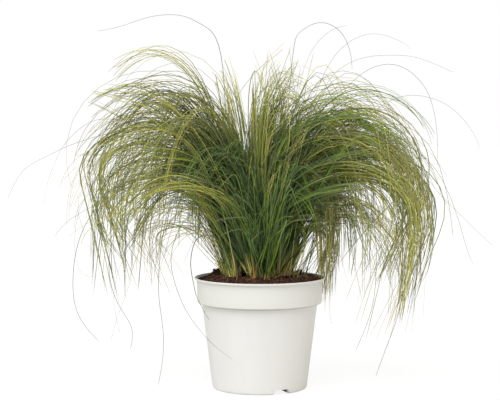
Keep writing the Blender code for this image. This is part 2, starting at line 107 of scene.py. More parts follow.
def roundOutline(corners, arcSteps=6, runStep=8.0):
    # an open outline of (radius, height, rounding): each corner becomes an arc of its rounding, and
    # long straight runs are cut into steps
    spots = np.array([corner[:2] for corner in corners], dtype=float)
    line = [spots[:1]]
    for index in range(1, len(spots) - 1):
        here, rounding = spots[index], corners[index][2]
        back = spots[index - 1] - here
        on = spots[index + 1] - here
        back, on = back / np.linalg.norm(back), on / np.linalg.norm(on)
        half = math.acos(np.clip(back @ on, -1, 1)) / 2
        if rounding == 0:
            line.append(here[None])
            continue
        centre = here + (back + on) / np.linalg.norm(back + on) * rounding / math.sin(half)
        first = here + back * rounding / math.tan(half) - centre
        last = here + on * rounding / math.tan(half) - centre
        share = np.linspace(0, 1, arcSteps)[:, None]
        swept = first * (1 - share) + last * share
        line.append(centre + swept / np.linalg.norm(swept, axis=1, keepdims=True) * rounding)
    line.append(spots[-1:])
    line = np.concatenate(line)
    finer = []
    for first, last in zip(line, line[1:]):
        steps = max(1, int(np.linalg.norm(last - first) / runStep))
        finer.append(first + (last - first) * (np.arange(steps) / steps)[:, None])
    return np.concatenate(finer + [line[-1:]])


def latticeNoise(x, y, cell, seed):
    # smooth noise of -1 to 1: random heights on a square lattice of the given cell, eased between them
    heights = np.random.default_rng(seed).uniform(-1, 1, (257, 257))
    u, v = x / cell + 128, y / cell + 128
    i, j = np.floor(u).astype(int) % 256, np.floor(v).astype(int) % 256
    s, t = ease(u - np.floor(u)), ease(v - np.floor(v))
    low = heights[i, j] * (1 - s) + heights[i + 1, j] * s
    high = heights[i, j + 1] * (1 - s) + heights[i + 1, j + 1] * s
    return low * (1 - t) + high * t


# Node tools: a material is a Principled BSDF, and its patterns come from shared groups

def newMaterial(name, roughness, specular=0.5):
    material = bpy.data.materials.new(name)
    material.use_nodes = True
    shader = material.node_tree.nodes["Principled BSDF"]
    shader.inputs["Roughness"].default_value = roughness
    shader.inputs["Specular IOR Level"].default_value = specular
    return material, material.node_tree, shader


def newGroup(name, inputs, outputs):
    group = bpy.data.node_groups.new(name, "ShaderNodeTree")
    for label, kind, value in inputs:
        socket = group.interface.new_socket(name=label, in_out="INPUT", socket_type="NodeSocket" + kind)
        if value is not None:
            socket.default_value = value
    for label, kind in outputs:
        group.interface.new_socket(name=label, in_out="OUTPUT", socket_type="NodeSocket" + kind)
    return group, group.nodes.new("NodeGroupInput"), group.nodes.new("NodeGroupOutput")


def setInputs(node, inputs):
    # a node's inputs, by name or number, set to values or linked to sockets
    for key, value in inputs.items():
        if isinstance(value, bpy.types.NodeSocket):
            node.id_data.links.new(value, node.inputs[key])
        else:
            node.inputs[key].default_value = value


def addNode(tree, kind, settings=None, inputs=None):
    node = tree.nodes.new(kind)
    for key, value in (settings or {}).items():
        setattr(node, key, value)
    setInputs(node, inputs or {})
    return node


def mathNode(operation, *values):
    # a Math node, in the tree of the first value that is a socket
    tree = next(value.id_data for value in values if isinstance(value, bpy.types.NodeSocket))
    return addNode(tree, "ShaderNodeMath", {"operation": operation}, dict(enumerate(values))).outputs[0]


def plus(first, second):
    return mathNode("ADD", first, second)


def minus(first, second):
    return mathNode("SUBTRACT", first, second)


def times(first, second):
    return mathNode("MULTIPLY", first, second)


def mixColour(share, first, second):
    node = addNode(share.id_data, "ShaderNodeMix", {"data_type": "RGBA"}, {0: share, 6: first, 7: second})
    return node.outputs[2]


def mapRange(value, low, high, toLow=0.0, toHigh=1.0):
    ends = {"Value": value, "From Min": low, "From Max": high, "To Min": toLow, "To Max": toHigh}
    return addNode(value.id_data, "ShaderNodeMapRange", inputs=ends).outputs["Result"]


def bumpNormal(height, strength, distance):
    inputs = {"Height": height, "Strength": strength, "Distance": distance}
    return addNode(height.id_data, "ShaderNodeBump", inputs=inputs).outputs["Normal"]


def separate(vector):
    return addNode(vector.id_data, "ShaderNodeSeparateXYZ", inputs={"Vector": vector}).outputs


def objectPlace(tree):
    return addNode(tree, "ShaderNodeTexCoord").outputs["Object"]


def seenByCamera(tree):
    return addNode(tree, "ShaderNodeLightPath").outputs["Is Camera Ray"]


def buildMottle():
    # noise of a scale, stretched along z: its height, and a mask that rises from 0 at Low to 1 at High
    group, given, made = newGroup(
        "mottle",
        [("Coordinates", "Vector", None), ("Scale", "Float", 40.0), ("Stretch", "Float", 1.0),
         ("Detail", "Float", 3.0), ("Low", "Float", 0.4), ("High", "Float", 0.65)],
        [("Mask", "Float"), ("Height", "Float")])
    given = given.outputs
    stretch = addNode(group, "ShaderNodeCombineXYZ", inputs={"X": 1.0, "Y": 1.0, "Z": given["Stretch"]})
    spot = addNode(group, "ShaderNodeVectorMath", {"operation": "MULTIPLY"},
                   {0: given["Coordinates"], 1: stretch.outputs[0]})
    noise = addNode(group, "ShaderNodeTexNoise", inputs={
        "Vector": spot.outputs[0], "Scale": given["Scale"], "Detail": given["Detail"]}).outputs["Fac"]
    setInputs(made, {"Mask": mapRange(noise, given["Low"], given["High"]), "Height": noise})
    return group


mottle = buildMottle()
print("node groups ready")


def patches(place, scale, low, high, detail=3.0, stretch=1.0):
    # the mottle group's outputs
    values = {"Coordinates": place, "Scale": scale, "Stretch": stretch, "Detail": detail}
    values.update(Low=low, High=high)
    return addNode(place.id_data, "ShaderNodeGroup", {"node_tree": mottle}, values).outputs


# Pot: one outline carried round the axis, with notches in its foot ring and drain holes in its floor

potShape = {  # mm and degrees; webSide is (across, height), drainRing the floor's part with the holes
    "height": 144.4, "lipRadius": 85.0, "lipDrop": 2.6, "lipWall": 1.2, "lipFlare": 2.3,
    "bandTop": 82.0, "bandBottom": 81.0, "bandFoot": 111.0, "bodyTop": 75.2, "bodyFoot": 61.3,
    "footInner": 57.3, "footDraft": 0.4, "footRound": 3.2, "wall": 1.6, "floorUnder": 7.6, "columns": 360,
    "notches": 3, "notchAzimuth": -63.0, "notchHeight": 6.4, "notchMouth": 24.0, "notchTop": 18.0,
    "notchFall": 0.02,
    "drains": 6, "drainCircle": 44.0, "drainRadius": 4.5, "drainRing": (33.0, 54.0),
    "webRadii": (55.4, 57.0), "webSide": [(0.0, 7.9), (0.0, 6.2), (10.0, 1.0), (13.0, 1.0), (13.0, 7.9)],
    "sharpOver": 40,
}
potColours = {  # sRGB, 0 to 255
    # painted shade: the band's tone, the line under the band, the inner wall's two tones and the underside
    "plain": (228, 228, 228), "clouded": (225, 225, 222), "streak": (220, 220, 217), "band": (220, 221, 217),
    "dust": (150, 128, 108), "bandShadow": (166, 164, 154), "innerWallShade": (50, 34, 26), "leftInnerWallShade": (70, 66, 50),
    "underside": (34, 34, 32),
}
potMasks = {  # mm: where each mask is 0 and where it is 1
    # besides the dust near lip and foot, these masks place painted shade: the band's tone, a line under the
    # band, the inner wall and the foot ring
    "nearLip": (141.5, 144.2), "nearFoot": (10.0, 0.0), "onBand": (110.0, 112.0),
    "aboveBandShadow": (109.2, 110.6), "belowShelf": (112.8, 111.2), "aboveShelf": (112.8, 114.0),
    "inFootRing": (58.0, 57.6), "underFloor": (8.5, 8.0), "atLeft": (-50.0, -62.0), "withinWall": (0.0, 0.4),
}
lipInside = {"heights": (142.1, 144.4), "radii": (80.9, 84.1)}  # mm: just within the flared lip


def potOutline(pot):
    # (radius, height) from the floor's underside, out, up, over the lip and down the inside, in mm
    slope = (pot["bodyTop"] - pot["bodyFoot"]) / pot["bandFoot"]
    floorTop = pot["floorUnder"] + pot["wall"]
    shelf = pot["bandFoot"] + pot["wall"]
    lipUnder = pot["height"] - pot["lipDrop"]
    return roundOutline([
        (pot["drainRing"][1], pot["floorUnder"], 0),
        (pot["footInner"] + pot["footDraft"], pot["floorUnder"], 0.8),
        (pot["footInner"], 0.0, 0.5),
        (pot["bodyFoot"], 0.0, pot["footRound"]),
        (pot["bodyTop"], pot["bandFoot"], 0.5),
        (pot["bandBottom"], pot["bandFoot"], 2.4),
        (pot["bandTop"], lipUnder, 0.5),
        (pot["lipRadius"], lipUnder + 0.1, 0.9),
        (pot["lipRadius"], pot["height"], 0.7),
        (pot["lipRadius"] - pot["lipWall"], pot["height"], 0.3),
        (pot["bandTop"] - pot["wall"], pot["height"] - pot["lipFlare"], 1.0),
        (pot["bandBottom"] - pot["wall"], shelf, 0.8),
        (pot["bodyTop"] - pot["wall"], shelf, 0.8),
        (pot["bodyFoot"] + slope * floorTop - pot["wall"], floorTop, 1.0),
        (pot["drainRing"][1], floorTop, 0),
    ])


def potWall(pot, columns):
    # the outline at every azimuth; in a notch the foot ring's lower points rise to the notch's edge
    outline = potOutline(pot)
    azimuth = pot["notchAzimuth"] + np.linspace(0, 360, columns + 1)
    turn = 360 / pot["notches"]
    aside = np.abs((azimuth - pot["notchAzimuth"] + turn / 2) % turn - turn / 2)
    across = np.radians(aside) * pot["bodyFoot"]
    slant = (pot["notchMouth"] - pot["notchTop"]) / 2
    lift = pot["notchHeight"] * np.clip((pot["notchMouth"] / 2 - across) / slant, 0, 1)
    radius, height = outline[:, :1], outline[:, 1:]
    foot = np.arange(len(outline))[:, None] < np.argmax(outline[:, 1] > pot["bandFoot"] / 2)
    fall = (height - pot["notchHeight"]) * pot["notchFall"] * (lift > 0)
    raised = np.where(foot, np.maximum(height, lift + fall), height)
    slope = (pot["bodyTop"] - pot["bodyFoot"]) / pot["bandFoot"]
    radius = radius + (raised - height) * slope * (radius > pot["bodyFoot"] - 2)
    return around(radius * mm, azimuth[None], raised * mm)


def potFloor(pot, height, columns, up):
    # the floor at one height: a middle disc, and a ring of sectors, each blended from its own outline
    # (share 1) to its drain hole (share 0); the winding turns it up or down
    inner, outer = pot["drainRing"]
    patches = []
    azimuth = pot["notchAzimuth"] + np.linspace(0, 360, columns + 1)
    disc = np.stack([around(radius, azimuth, height) for radius in (0.0, inner * 0.5, inner)])
    patches.append(gridTriangles(disc * mm))
    span = columns // pot["drains"]
    sides = np.linspace(inner, outer, 13)
    circles = []
    for index in range(pot["drains"]):
        edge = azimuth[index * span:(index + 1) * span + 1]
        loop = np.concatenate([
            around(inner, edge, height), around(sides[1:], edge[-1], height),
            around(outer, edge[::-1][1:], height), around(sides[::-1][1:], edge[0], height)])
        centre = around(pot["drainCircle"], edge.mean(), height)
        away = loop - centre
        circle = centre + away / np.linalg.norm(away, axis=1, keepdims=True) * pot["drainRadius"]
        share = np.linspace(0, 1, 5)[:, None, None]
        patches.append(gridTriangles((circle * (1 - share) + loop * share) * mm))
        circles.append(circle)
    triangles = np.concatenate(patches)
    normal = np.cross(triangles[:, 1] - triangles[:, 0], triangles[:, 2] - triangles[:, 0])[:, 2]
    wrong = (normal < 0) == up
    triangles[wrong] = triangles[wrong][:, ::-1]
    return triangles, circles


def potWebs(pot):
    # behind the right half of each notch a slanting web joins the floor and the foot ring: the corners
    # (across, height) of its side at two radii, closed as a prism
    side = np.array(pot["webSide"])
    webs = []
    for index in range(pot["notches"]):
        turn = math.radians(pot["notchAzimuth"] + index * 360 / pot["notches"])
        out = np.array([math.cos(turn), math.sin(turn), 0])
        on = np.array([-math.sin(turn), math.cos(turn), 0])
        spots = side[:, :1] * on + side[:, 1:] * np.array([0, 0, 1])
        inner, outer = (spots + radius * out for radius in pot["webRadii"])
        for face in (inner[::-1], outer):
            webs.append(np.stack([[face[0], face[k], face[k + 1]] for k in range(1, len(side) - 1)]))
        ring = np.stack([inner, outer])[:, list(range(len(side))) + [0]]
        webs.append(gridTriangles(ring))
    return [web * mm for web in webs]


def buildPot(pot, material):
    # wall, floor, drain holes and webs, welded where they meet
    columns = pot["columns"]
    floorTop = pot["floorUnder"] + pot["wall"]
    below, lowCircles = potFloor(pot, pot["floorUnder"], columns, up=False)
    above, highCircles = potFloor(pot, floorTop, columns, up=True)
    wall = gridTriangles(potWall(pot, columns))
    holes = [gridTriangles(np.stack(pair) * mm) for pair in zip(lowCircles, highCircles)]
    points, corners, starts = weldTriangles([wall, below, above, *holes, *potWebs(pot)])
    return makePiece("nurseryPot", points, corners, starts, material, sharpOver=pot["sharpOver"])


def potMaterial(colours, masks, lip):
    # satin white plastic: faint moulding streaks and a little peat dust at the lip and foot; painted shadow
    # in a line under the band, painted shade on the wall's inside and in the foot ring under the floor, and
    # the band painted slightly darker against the extra light it catches
    def tone(name):
        return linear(*colours[name])

    def masked(name, value):
        low, high = masks[name]
        return mapRange(value, low * mm, high * mm)

    material, tree, shader = newMaterial("whitePlastic", 0.36, 0.45)
    place = objectPlace(tree)
    streaks = patches(place, 55.0, 0.35, 0.7, detail=2.0, stretch=0.08)
    cloud = patches(place, 14.0, 0.3, 0.75)
    dust = patches(place, 420.0, 0.60, 0.72, detail=4.0)
    grain = patches(place, 1500.0, 0.3, 0.7, detail=2.0)
    split = separate(place)
    height = split["Z"]
    radius = mathNode("SQRT", plus(*(times(split[axis], split[axis]) for axis in "XY")))
    innerRadius = mapRange(height, *(edge * mm for edge in lip["heights"] + lip["radii"]))
    inside = times(masked("withinWall", minus(innerRadius, radius)), masked("aboveShelf", height))
    # painted shade: the wall's inside above the shelf, dark brown, greyer at the left, a little mottled
    innerWallShade = times(inside, mapRange(cloud["Height"], 0.3, 0.6, 0.8, 0.97))
    innerWallShadeColour = mixColour(masked("atLeft", split["X"]), tone("innerWallShade"), tone("leftInnerWallShade"))
    # painted shadow: a darker line at the foot of the band, where its overhang shades the body
    bandShadow = times(masked("aboveBandShadow", height), masked("belowShelf", height))
    # painted shade: the foot ring's inside under the floor, nearly black
    footShadeMask = times(masked("inFootRing", radius), masked("underFloor", height))
    dusty = times(mathNode("MAXIMUM", masked("nearLip", height), masked("nearFoot", height)), dust["Mask"])

    coloured = mixColour(cloud["Mask"], tone("plain"), tone("clouded"))
    coloured = mixColour(times(streaks["Mask"], 0.35), coloured, tone("streak"))
    # painted shade: the band a little darker than the body, against the extra light it catches
    coloured = mixColour(times(masked("onBand", height), 0.8), coloured, tone("band"))
    coloured = mixColour(times(dusty, 0.35), coloured, tone("dust"))
    coloured = mixColour(times(bandShadow, 0.75), coloured, tone("bandShadow"))
    coloured = mixColour(innerWallShade, coloured, innerWallShadeColour)
    coloured = mixColour(footShadeMask, coloured, tone("underside"))
    rough = plus(mapRange(cloud["Height"], 0.3, 0.7, 0.33, 0.42), times(dusty, 0.3))
    normal = bumpNormal(plus(grain["Height"], times(streaks["Height"], 2.0)), 0.12, 0.00008)
    setInputs(shader, {"Base Color": coloured, "Roughness": rough, "Normal": normal})
    return material


nurseryPot = buildPot(potShape, potMaterial(potColours, potMasks, lipInside))
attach(nurseryPot, "root")
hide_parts("pot")
print("pot:", len(nurseryPot.data.polygons), "faces")


# Soil: the plug's outline carried round, its top raised by noise, with crumbs and chips on it

soilShape = {  # mm and degrees; a clod is (azimuth, distance, rise, spread), roughness (cell, depth)
    "top": 144.5, "edge": 143.3, "levelRadius": 60.0, "edgeRadius": 79.75, "gap": 0.3,
    "side": (60.4, 73.0, 78.8), "hollow": 7.0, "hollowAzimuth": 174.0, "hollowSpread": 24.0,
    "clods": [(141, 66, 8, 7), (150, 69, 7, 6), (118, 68, 4, 6), (40, 68, 6, 5), (205, 66, 2.5, 8),
              (262, 67, 2, 9), (318, 66, 3, 7)],
    "roughness": [(13.0, 0.9), (5.5, 0.7), (2.3, 0.45), (1.1, 0.2)], "roughSeed": 40,
    "rings": 84, "columns": 300, "crumbs": 1700, "chips": 320, "roots": 80,
}
soilColours = {"dark": (33, 19, 15), "warm": (74, 43, 32), "red": (116, 70, 49)}  # sRGB, 0 to 255
crumbShape = {  # mm; crumbSize is the least and what is added, flat and raised are shares of the size
    "crumbSize": (0.55, 1.35), "chipSize": (0.5, 1.0), "uneven": (0.75, 1.25), "lumpy": (0.72, 1.25),
    "chipLength": (3.0, 8.0), "crumbFlat": 0.9, "chipFlat": 0.45, "chipTilt": 0.22, "fromEdge": 3.5,
    "raised": 0.15,
}


def soilHeight(soil, x, y):
    # level, then eased down to the edge, and further in a hollow of exp(-(turn/spread)²) at the left;
    # clods are bumps exp(-(d/s)²); noise of four cell sizes on top
    radius = np.hypot(x, y)
    share = (radius - soil["levelRadius"]) / (soil["edgeRadius"] - soil["levelRadius"])
    away = (np.degrees(np.arctan2(y, x)) - soil["hollowAzimuth"] + 180) % 360 - 180
    edge = soil["edge"] - soil["hollow"] * np.exp(-(away / soil["hollowSpread"]) ** 2)
    height = soil["top"] + (edge - soil["top"]) * ease(share)
    fade = np.clip(4 * (1 - share), 0, 1)
    for degrees, distance, rise, spread in soil["clods"]:
        spot = around(distance, degrees, 0.0)
        height = height + rise * np.exp(-((x - spot[0]) ** 2 + (y - spot[1]) ** 2) / spread ** 2) * fade
    for index, (cell, depth) in enumerate(soil["roughness"]):
        noise = latticeNoise(x, y, cell, soil["roughSeed"] + index)
        height = height + depth * noise * np.clip(fade + 0.4, 0, 1)
    return height


def buildSoil(soil, pot, material):
    # the top is a polar grid, closer towards its edge; the underside follows the pot's inner wall at a gap
    azimuth = np.linspace(0, 360, soil["columns"] + 1)
    radius = soil["edgeRadius"] * np.linspace(0, 1, soil["rings"]) ** 0.8
    top = around(radius[:, None], azimuth[None], 0.0)
    top[..., 2] = soilHeight(soil, top[..., 0], top[..., 1])
    floor = pot["floorUnder"] + pot["wall"] + soil["gap"]
    shelf = pot["bandFoot"] + pot["wall"] + soil["gap"]
    foot, belowShelf, onShelf = soil["side"]
    side = [(0.0, floor), (foot, floor), (belowShelf, shelf), (onShelf, shelf)]
    under = np.stack([*(around(distance, azimuth, height) for distance, height in side), top[-1]])
    points, corners, starts = weldTriangles([gridTriangles(top * mm)[:, ::-1], gridTriangles(under * mm)])
    return makePiece("peatSoil", points, corners, starts, material)


def lumpFaces():
    # the 12 points and 20 faces of an icosahedron, the faces turned outward
    golden = (1 + 5 ** 0.5) / 2
    points = np.array([(a, b * golden, 0) for a in (-1, 1) for b in (-1, 1)])
    points = np.concatenate([points, points[:, [2, 0, 1]], points[:, [1, 2, 0]]])
    near = np.linalg.norm(points[:, None] - points[None], axis=2) < 2.1
    faces = np.array([(i, j, k) for i in range(12) for j in range(i + 1, 12) for k in range(j + 1, 12)
                      if near[i, j] and near[j, k] and near[i, k]])
    a, b, c = points[faces].transpose(1, 0, 2)
    turned = (np.cross(b - a, c - a) * (a + b + c)).sum(1) < 0
    faces[turned] = faces[turned][:, ::-1]
    return points / np.linalg.norm(points[0]), faces


def randomTurns(count):
    # random rotation matrices, from the QR split of normal numbers, with right-handed axes
    turns, _ = np.linalg.qr(chance.normal(size=(count, 3, 3)))
    turns[:, :, 0] *= np.sign(np.linalg.det(turns))[:, None]
    return turns


def buildCrumbs(soil, crumb, material):
    # each lump is an icosahedron with uneven radii, scaled, turned and half sunk in the soil; the chips
    # are longer, thinner and lie nearly flat
    shape, faces = lumpFaces()
    count = soil["crumbs"] + soil["chips"]
    isChip = np.arange(count) >= soil["crumbs"]
    chipSize = chance.uniform(*crumb["chipSize"], count)
    least, added = crumb["crumbSize"]
    size = np.where(isChip, chipSize, least + added * chance.uniform(0, 1, count) ** 3)
    stretch = chance.uniform(*crumb["uneven"], (count, 3))
    stretch[:, 0] *= np.where(isChip, chance.uniform(*crumb["chipLength"], count), 1.0)
    stretch[:, 2] *= np.where(isChip, crumb["chipFlat"], crumb["crumbFlat"])
    lumps = shape[None] * chance.uniform(*crumb["lumpy"], (count, 12, 1))
    points = lumps * (size[:, None] * stretch)[:, None]
    turns = randomTurns(count)
    spin = chance.uniform(0, 2 * np.pi, count)
    tip = chance.normal(0, crumb["chipTilt"], count)
    cosine, sine, zero = np.cos(spin), np.sin(spin), np.zeros(count)
    flatTurn = np.array([[cosine, -sine, zero], [sine, cosine, zero], [tip, zero, zero + 1]])
    turns = np.where(isChip[:, None, None], flatTurn.transpose(2, 0, 1), turns)
    points = np.einsum("nij,nkj->nki", turns, points)
    radius = (soil["edgeRadius"] - crumb["fromEdge"]) * chance.uniform(0, 1, count) ** 0.5
    spot = around(radius, chance.uniform(0, 360, count), 0.0)
    spot[:, 2] = soilHeight(soil, spot[:, 0], spot[:, 1]) + size * crumb["raised"]
    points = (points + spot[:, None]) * mm
    corners = (faces[None] + 12 * np.arange(count)[:, None, None]).ravel()
    starts = np.arange(count * 20) * 3
    return makePiece("peatCrumbs", points.reshape(-1, 3), corners, starts, material, flat=True)


def soilMaterial(name, colours, light):
    # dark red-brown peat: fine and coarse mottle, damp dark patches and reddish fibres
    material, tree, shader = newMaterial(name, 0.9, 0.25)
    place = objectPlace(tree)
    coarse = patches(place, 90.0, 0.38, 0.62, detail=5.0)
    fine = patches(place, 520.0, 0.40, 0.64, detail=5.0)
    fibres = patches(place, 330.0, 0.63, 0.67, detail=1.0)
    tone = {key: linear(*(part * light for part in colour)) for key, colour in colours.items()}
    coloured = mixColour(coarse["Mask"], tone["dark"], tone["warm"])
    coloured = mixColour(times(fine["Mask"], 0.65), coloured, tone["dark"])
    coloured = mixColour(times(fibres["Mask"], 0.8), coloured, tone["red"])
    rough = mapRange(coarse["Height"], 0.3, 0.7, 0.78, 0.98)
    normal = bumpNormal(fine["Height"], 0.8, 0.0006)
    setInputs(shader, {"Base Color": coloured, "Roughness": rough, "Normal": normal})
    return material


peatSoil = buildSoil(soilShape, potShape, soilMaterial("darkPeat", soilColours, 1.0))
peatCrumbs = buildCrumbs(soilShape, crumbShape, soilMaterial("peatCrumb", soilColours, 1.18))
for piece in (peatSoil, peatCrumbs):
    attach(piece, "root")
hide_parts("soil")
print("soil:", len(peatSoil.data.polygons), "faces, crumbs:", len(peatCrumbs.data.polygons))


# Blades: thin three-cornered tubes that end in a point, their tone and length on the OFBake map

bladeShape = {  # mm and degrees; spread is one standard deviation within a strand, riseShare a share of rise
    "toneClasses": 128, "strandTones": 0.45, "denseSteps": 90, "stations": (5, 12, 6),
    "spread": {"azimuth": 5.0, "lean": 2.2, "hang": 10.0, "bow": 1.0, "sway": 8.0, "bendStart": 0.03,
               "bendEnd": 0.04, "rise": 0.0, "riseShare": 0.045, "reach": 0.0, "reachShare": 0.06,
               "tipHeight": 14.0, "root": 2.0},
    "startLimit": 0.6, "endLimit": 1.3, "bendRoom": 0.15, "waveRates": (1, 1, 1, 2.6), "headingWave": 2.4,
    "rootDepth": 2.0, "shootChoice": 9, "stretchLimit": 2.4, "clumpFrom": 0.25, "depthFree": 105.0,
    "depthLimit": 148.0, "shorter": 0.05, "shortest": 0.35, "twist": (0.5, 1.1), "tipShare": 0.4,
    "sheathExtra": 0.7, "sheathLength": 0.035, "thickness": 0.62,
}
toneClasses = bladeShape["toneClasses"]
shoots = np.array([  # x and y of the clump's shoots in mm
    (-41, 13), (-37, 5), (-32, 14), (-35, 24), (-29, 6), (-23, 40), (-17, 48), (-14, 36), (-9, -17),
    (-3, -24), (3, -19), (8, -26), (12, -17), (0, -11), (6, -9), (-9, 9), (4, 10), (-1, 28), (12, 20),
    (-4, -2), (17, -17), (22, -8), (28, 1), (34, 8), (26, 16), (38, 18), (40, 30), (30, 34), (20, 30),
    (14, 44), (3, 44)], dtype=float)


def runningSum(steps):
    # integral by the trapezium rule of values (n, m) on an even grid of shares, from 0
    inner = np.cumsum((steps[:, 1:] + steps[:, :-1]) / 2, axis=1) / (steps.shape[1] - 1)
    return np.concatenate([np.zeros((len(steps), 1)), inner], axis=1)


def heldWithin(values, free, limit):
    # |v| as it is up to free, beyond it free + (limit - free) tanh((|v| - free) / (limit - free))
    beyond = np.maximum(np.abs(values) - free, 0) / (limit - free)
    return np.sign(values) * (np.minimum(np.abs(values), free) + (limit - free) * np.tanh(beyond))


def growPaths(look, shape, draws):
    # Blades grow in strands that share one guide. At share u of a blade its angle from upright is
    #   lean + bow u + (hang - lean - bow) bend(t) + waves, t = (u - bendStart) / (bendEnd - bendStart),
    # where bend is the mean of t and its ease, mixed by square with two eases of half the bend each, and
    # the waves are a slow and a quick sine. Its azimuth drifts by sway u^1.3, with waves of its own, and
    # its path is the running sum of that direction, scaled to its rise and, within the stretch limit, to
    # its reach. Towards the tips a strand's blades draw together by its clump, and far ones are held within
    # the clump's depth. A path ends at its tip height, or a little before. Its strand's number comes last.
    count, spread = look["count"], shape["spread"]
    strands = max(1, round(count / look["perStrand"]))
    strandOf = draws.integers(0, strands, count)

    def varied(key):
        return draws.normal(0, spread[key] * look["loose"], count)

    def guided(key, span=None):
        return draws.uniform(*(span or look[key]), strands)[strandOf] + varied(key)

    azimuth, lean, hang, bow, sway = map(guided, ("azimuth", "lean", "hang", "bow", "sway"))
    bendStart = np.clip(guided("bendStart", look["bend"][:2]), 0.0, shape["startLimit"])
    bendEnd = np.clip(guided("bendEnd", look["bend"][2:]), bendStart + shape["bendRoom"], shape["endLimit"])
    rise = guided("rise") * (1 + varied("riseShare"))
    reach = guided("reach") * (1 + varied("reachShare"))
    tipHeight = guided("tipHeight")

    u = np.linspace(0, 1, shape["denseSteps"])[None]
    t = np.clip((u - bendStart[:, None]) / (bendEnd - bendStart)[:, None], 0, 1)
    square = look["square"]
    bend = (1 - square) * (t + ease(t)) / 2 + square * (ease(2 * t) + ease(2 * t - 1)) / 2
    rates = draws.uniform(0.5, 1.2, (4, count, 1)) * np.array(shape["waveRates"])[:, None, None]
    phases = draws.uniform(0, 1, (4, count, 1))
    slow, side, drift, quick = np.sin(2 * np.pi * (u * rates + phases))
    angle = np.radians(lean[:, None] + bow[:, None] * u + (hang - lean - bow)[:, None] * bend
                       + look["wave"] * (slow + quick))
    heading = np.radians(azimuth[:, None] + sway[:, None] * u ** 1.3
                         + look["wave"] * (shape["headingWave"] * side * u + drift))

    out = np.stack([runningSum(np.sin(angle) * np.cos(heading)), runningSum(np.sin(angle) * np.sin(heading)),
                    runningSum(np.cos(angle))], -1)
    out *= np.minimum(rise / np.maximum(out[..., 2].max(1), 0.05), look["longest"])[:, None, None]
    widest = np.hypot(out[..., 0], out[..., 1]).max(1)
    out[..., :2] *= np.minimum(reach / np.maximum(widest, 1), shape["stretchLimit"])[:, None, None]

    turnRound = draws.uniform(0, 2 * np.pi, strands)
    afar = draws.uniform(0, 1, strands) ** 0.5
    place, aside = np.reshape(look["root"], (2, 2))
    aim = place + np.stack([np.cos(turnRound), np.sin(turnRound)], 1) * afar[:, None] * aside
    apart = np.linalg.norm(aim[:, None] - shoots[None], axis=2)
    apart = apart + draws.uniform(0, shape["shootChoice"], apart.shape)
    root = shoots[apart.argmin(1)][strandOf] + draws.normal(0, spread["root"], (count, 2))
    paths = out.copy()
    paths[..., :2] += root[:, None]
    paths[..., 2] += soilShape["top"] - shape["rootDepth"]
    clump = np.clip(draws.uniform(*look["clump"], strands), 0, 0.95)[strandOf]
    guides = np.zeros((strands, *paths.shape[1:]))
    np.add.at(guides, strandOf, paths)
    members = np.maximum(np.bincount(strandOf, minlength=strands), 1)
    guides = (guides / members[:, None, None])[strandOf]
    gathered = clump[:, None] * ease((u - shape["clumpFrom"]) / (1 - shape["clumpFrom"]))
    paths = guides + (paths - guides) * (1 - gathered)[..., None]
    paths[..., 1] = heldWithin(paths[..., 1], shape["depthFree"], shape["depthLimit"])

    beyondTop = np.arange(u.size)[None] > out[..., 2].argmax(1)[:, None]
    cut = beyondTop & (paths[..., 2] < tipHeight[:, None])
    ends = np.where(cut.any(1), cut.argmax(1), u.size - 1) / (u.size - 1)
    ends = ends * (1 - np.abs(draws.normal(0, shape["shorter"], count)))
    return paths, heading, np.maximum(ends, shape["shortest"]), bendStart, bendEnd, strandOf


def readStations(plan, paths, heading, ends, bendStart, bendEnd):
    # path points at uneven shares: few below the bend, many in it, some beyond it, the last at the end
    first, second, third = plan
    k = np.arange(first + second + third + 1)[None]
    bendEnd = np.minimum(bendEnd, ends * 0.88)[:, None]
    bendStart = np.minimum(bendStart[:, None], bendEnd * 0.6)
    ends = ends[:, None]
    share = np.where(k <= first, bendStart * k / first,
                     np.where(k <= first + second, bendStart + (bendEnd - bendStart) * (k - first) / second,
                              bendEnd + (ends - bendEnd) * (k - first - second) / third))
    spot = share * (paths.shape[1] - 1)
    low = np.minimum(spot.astype(int), paths.shape[1] - 2)
    part = (spot - low)[..., None]
    row = np.arange(len(paths))[:, None]
    points = paths[row, low] * (1 - part) + paths[row, low + 1] * part
    return points, heading[row, low], share / ends


def tubeTopology(stations):
    # one blade's face corners, each corner's place round the tube and its station, and its faces' starts:
    # three quads a span, three triangles to the tip and one under the root
    s, c = np.meshgrid(np.arange(stations - 2), np.arange(3), indexing="ij")
    after = (c + 1) % 3
    quads = np.stack([3 * s + c, 3 * s + after, 3 * s + 3 + after, 3 * s + 3 + c], -1)
    quadSide = np.stack([c, c + 1, c + 1, c], -1)
    quadStation = np.stack([s, s, s + 1, s + 1], -1)
    k = np.arange(3)
    last, tip = stations - 2, np.full(3, stations - 1)
    tips = np.stack([3 * last + k, 3 * last + (k + 1) % 3, 3 * tip], -1)
    tipSide = np.stack([k, k + 1, k + 0.5], -1)
    tipStation = np.stack([tip - 1, tip - 1, tip], -1)
    corners = np.concatenate([quads.ravel(), tips.ravel(), [2, 1, 0]])
    sides = np.concatenate([quadSide.ravel(), tipSide.ravel(), [2, 1, 0]])
    stationOf = np.concatenate([quadStation.ravel(), tipStation.ravel(), [0, 1, 0]])
    sizes = np.array([4] * s.size + [3] * 4)
    return corners, sides, stationOf, np.cumsum(sizes) - sizes


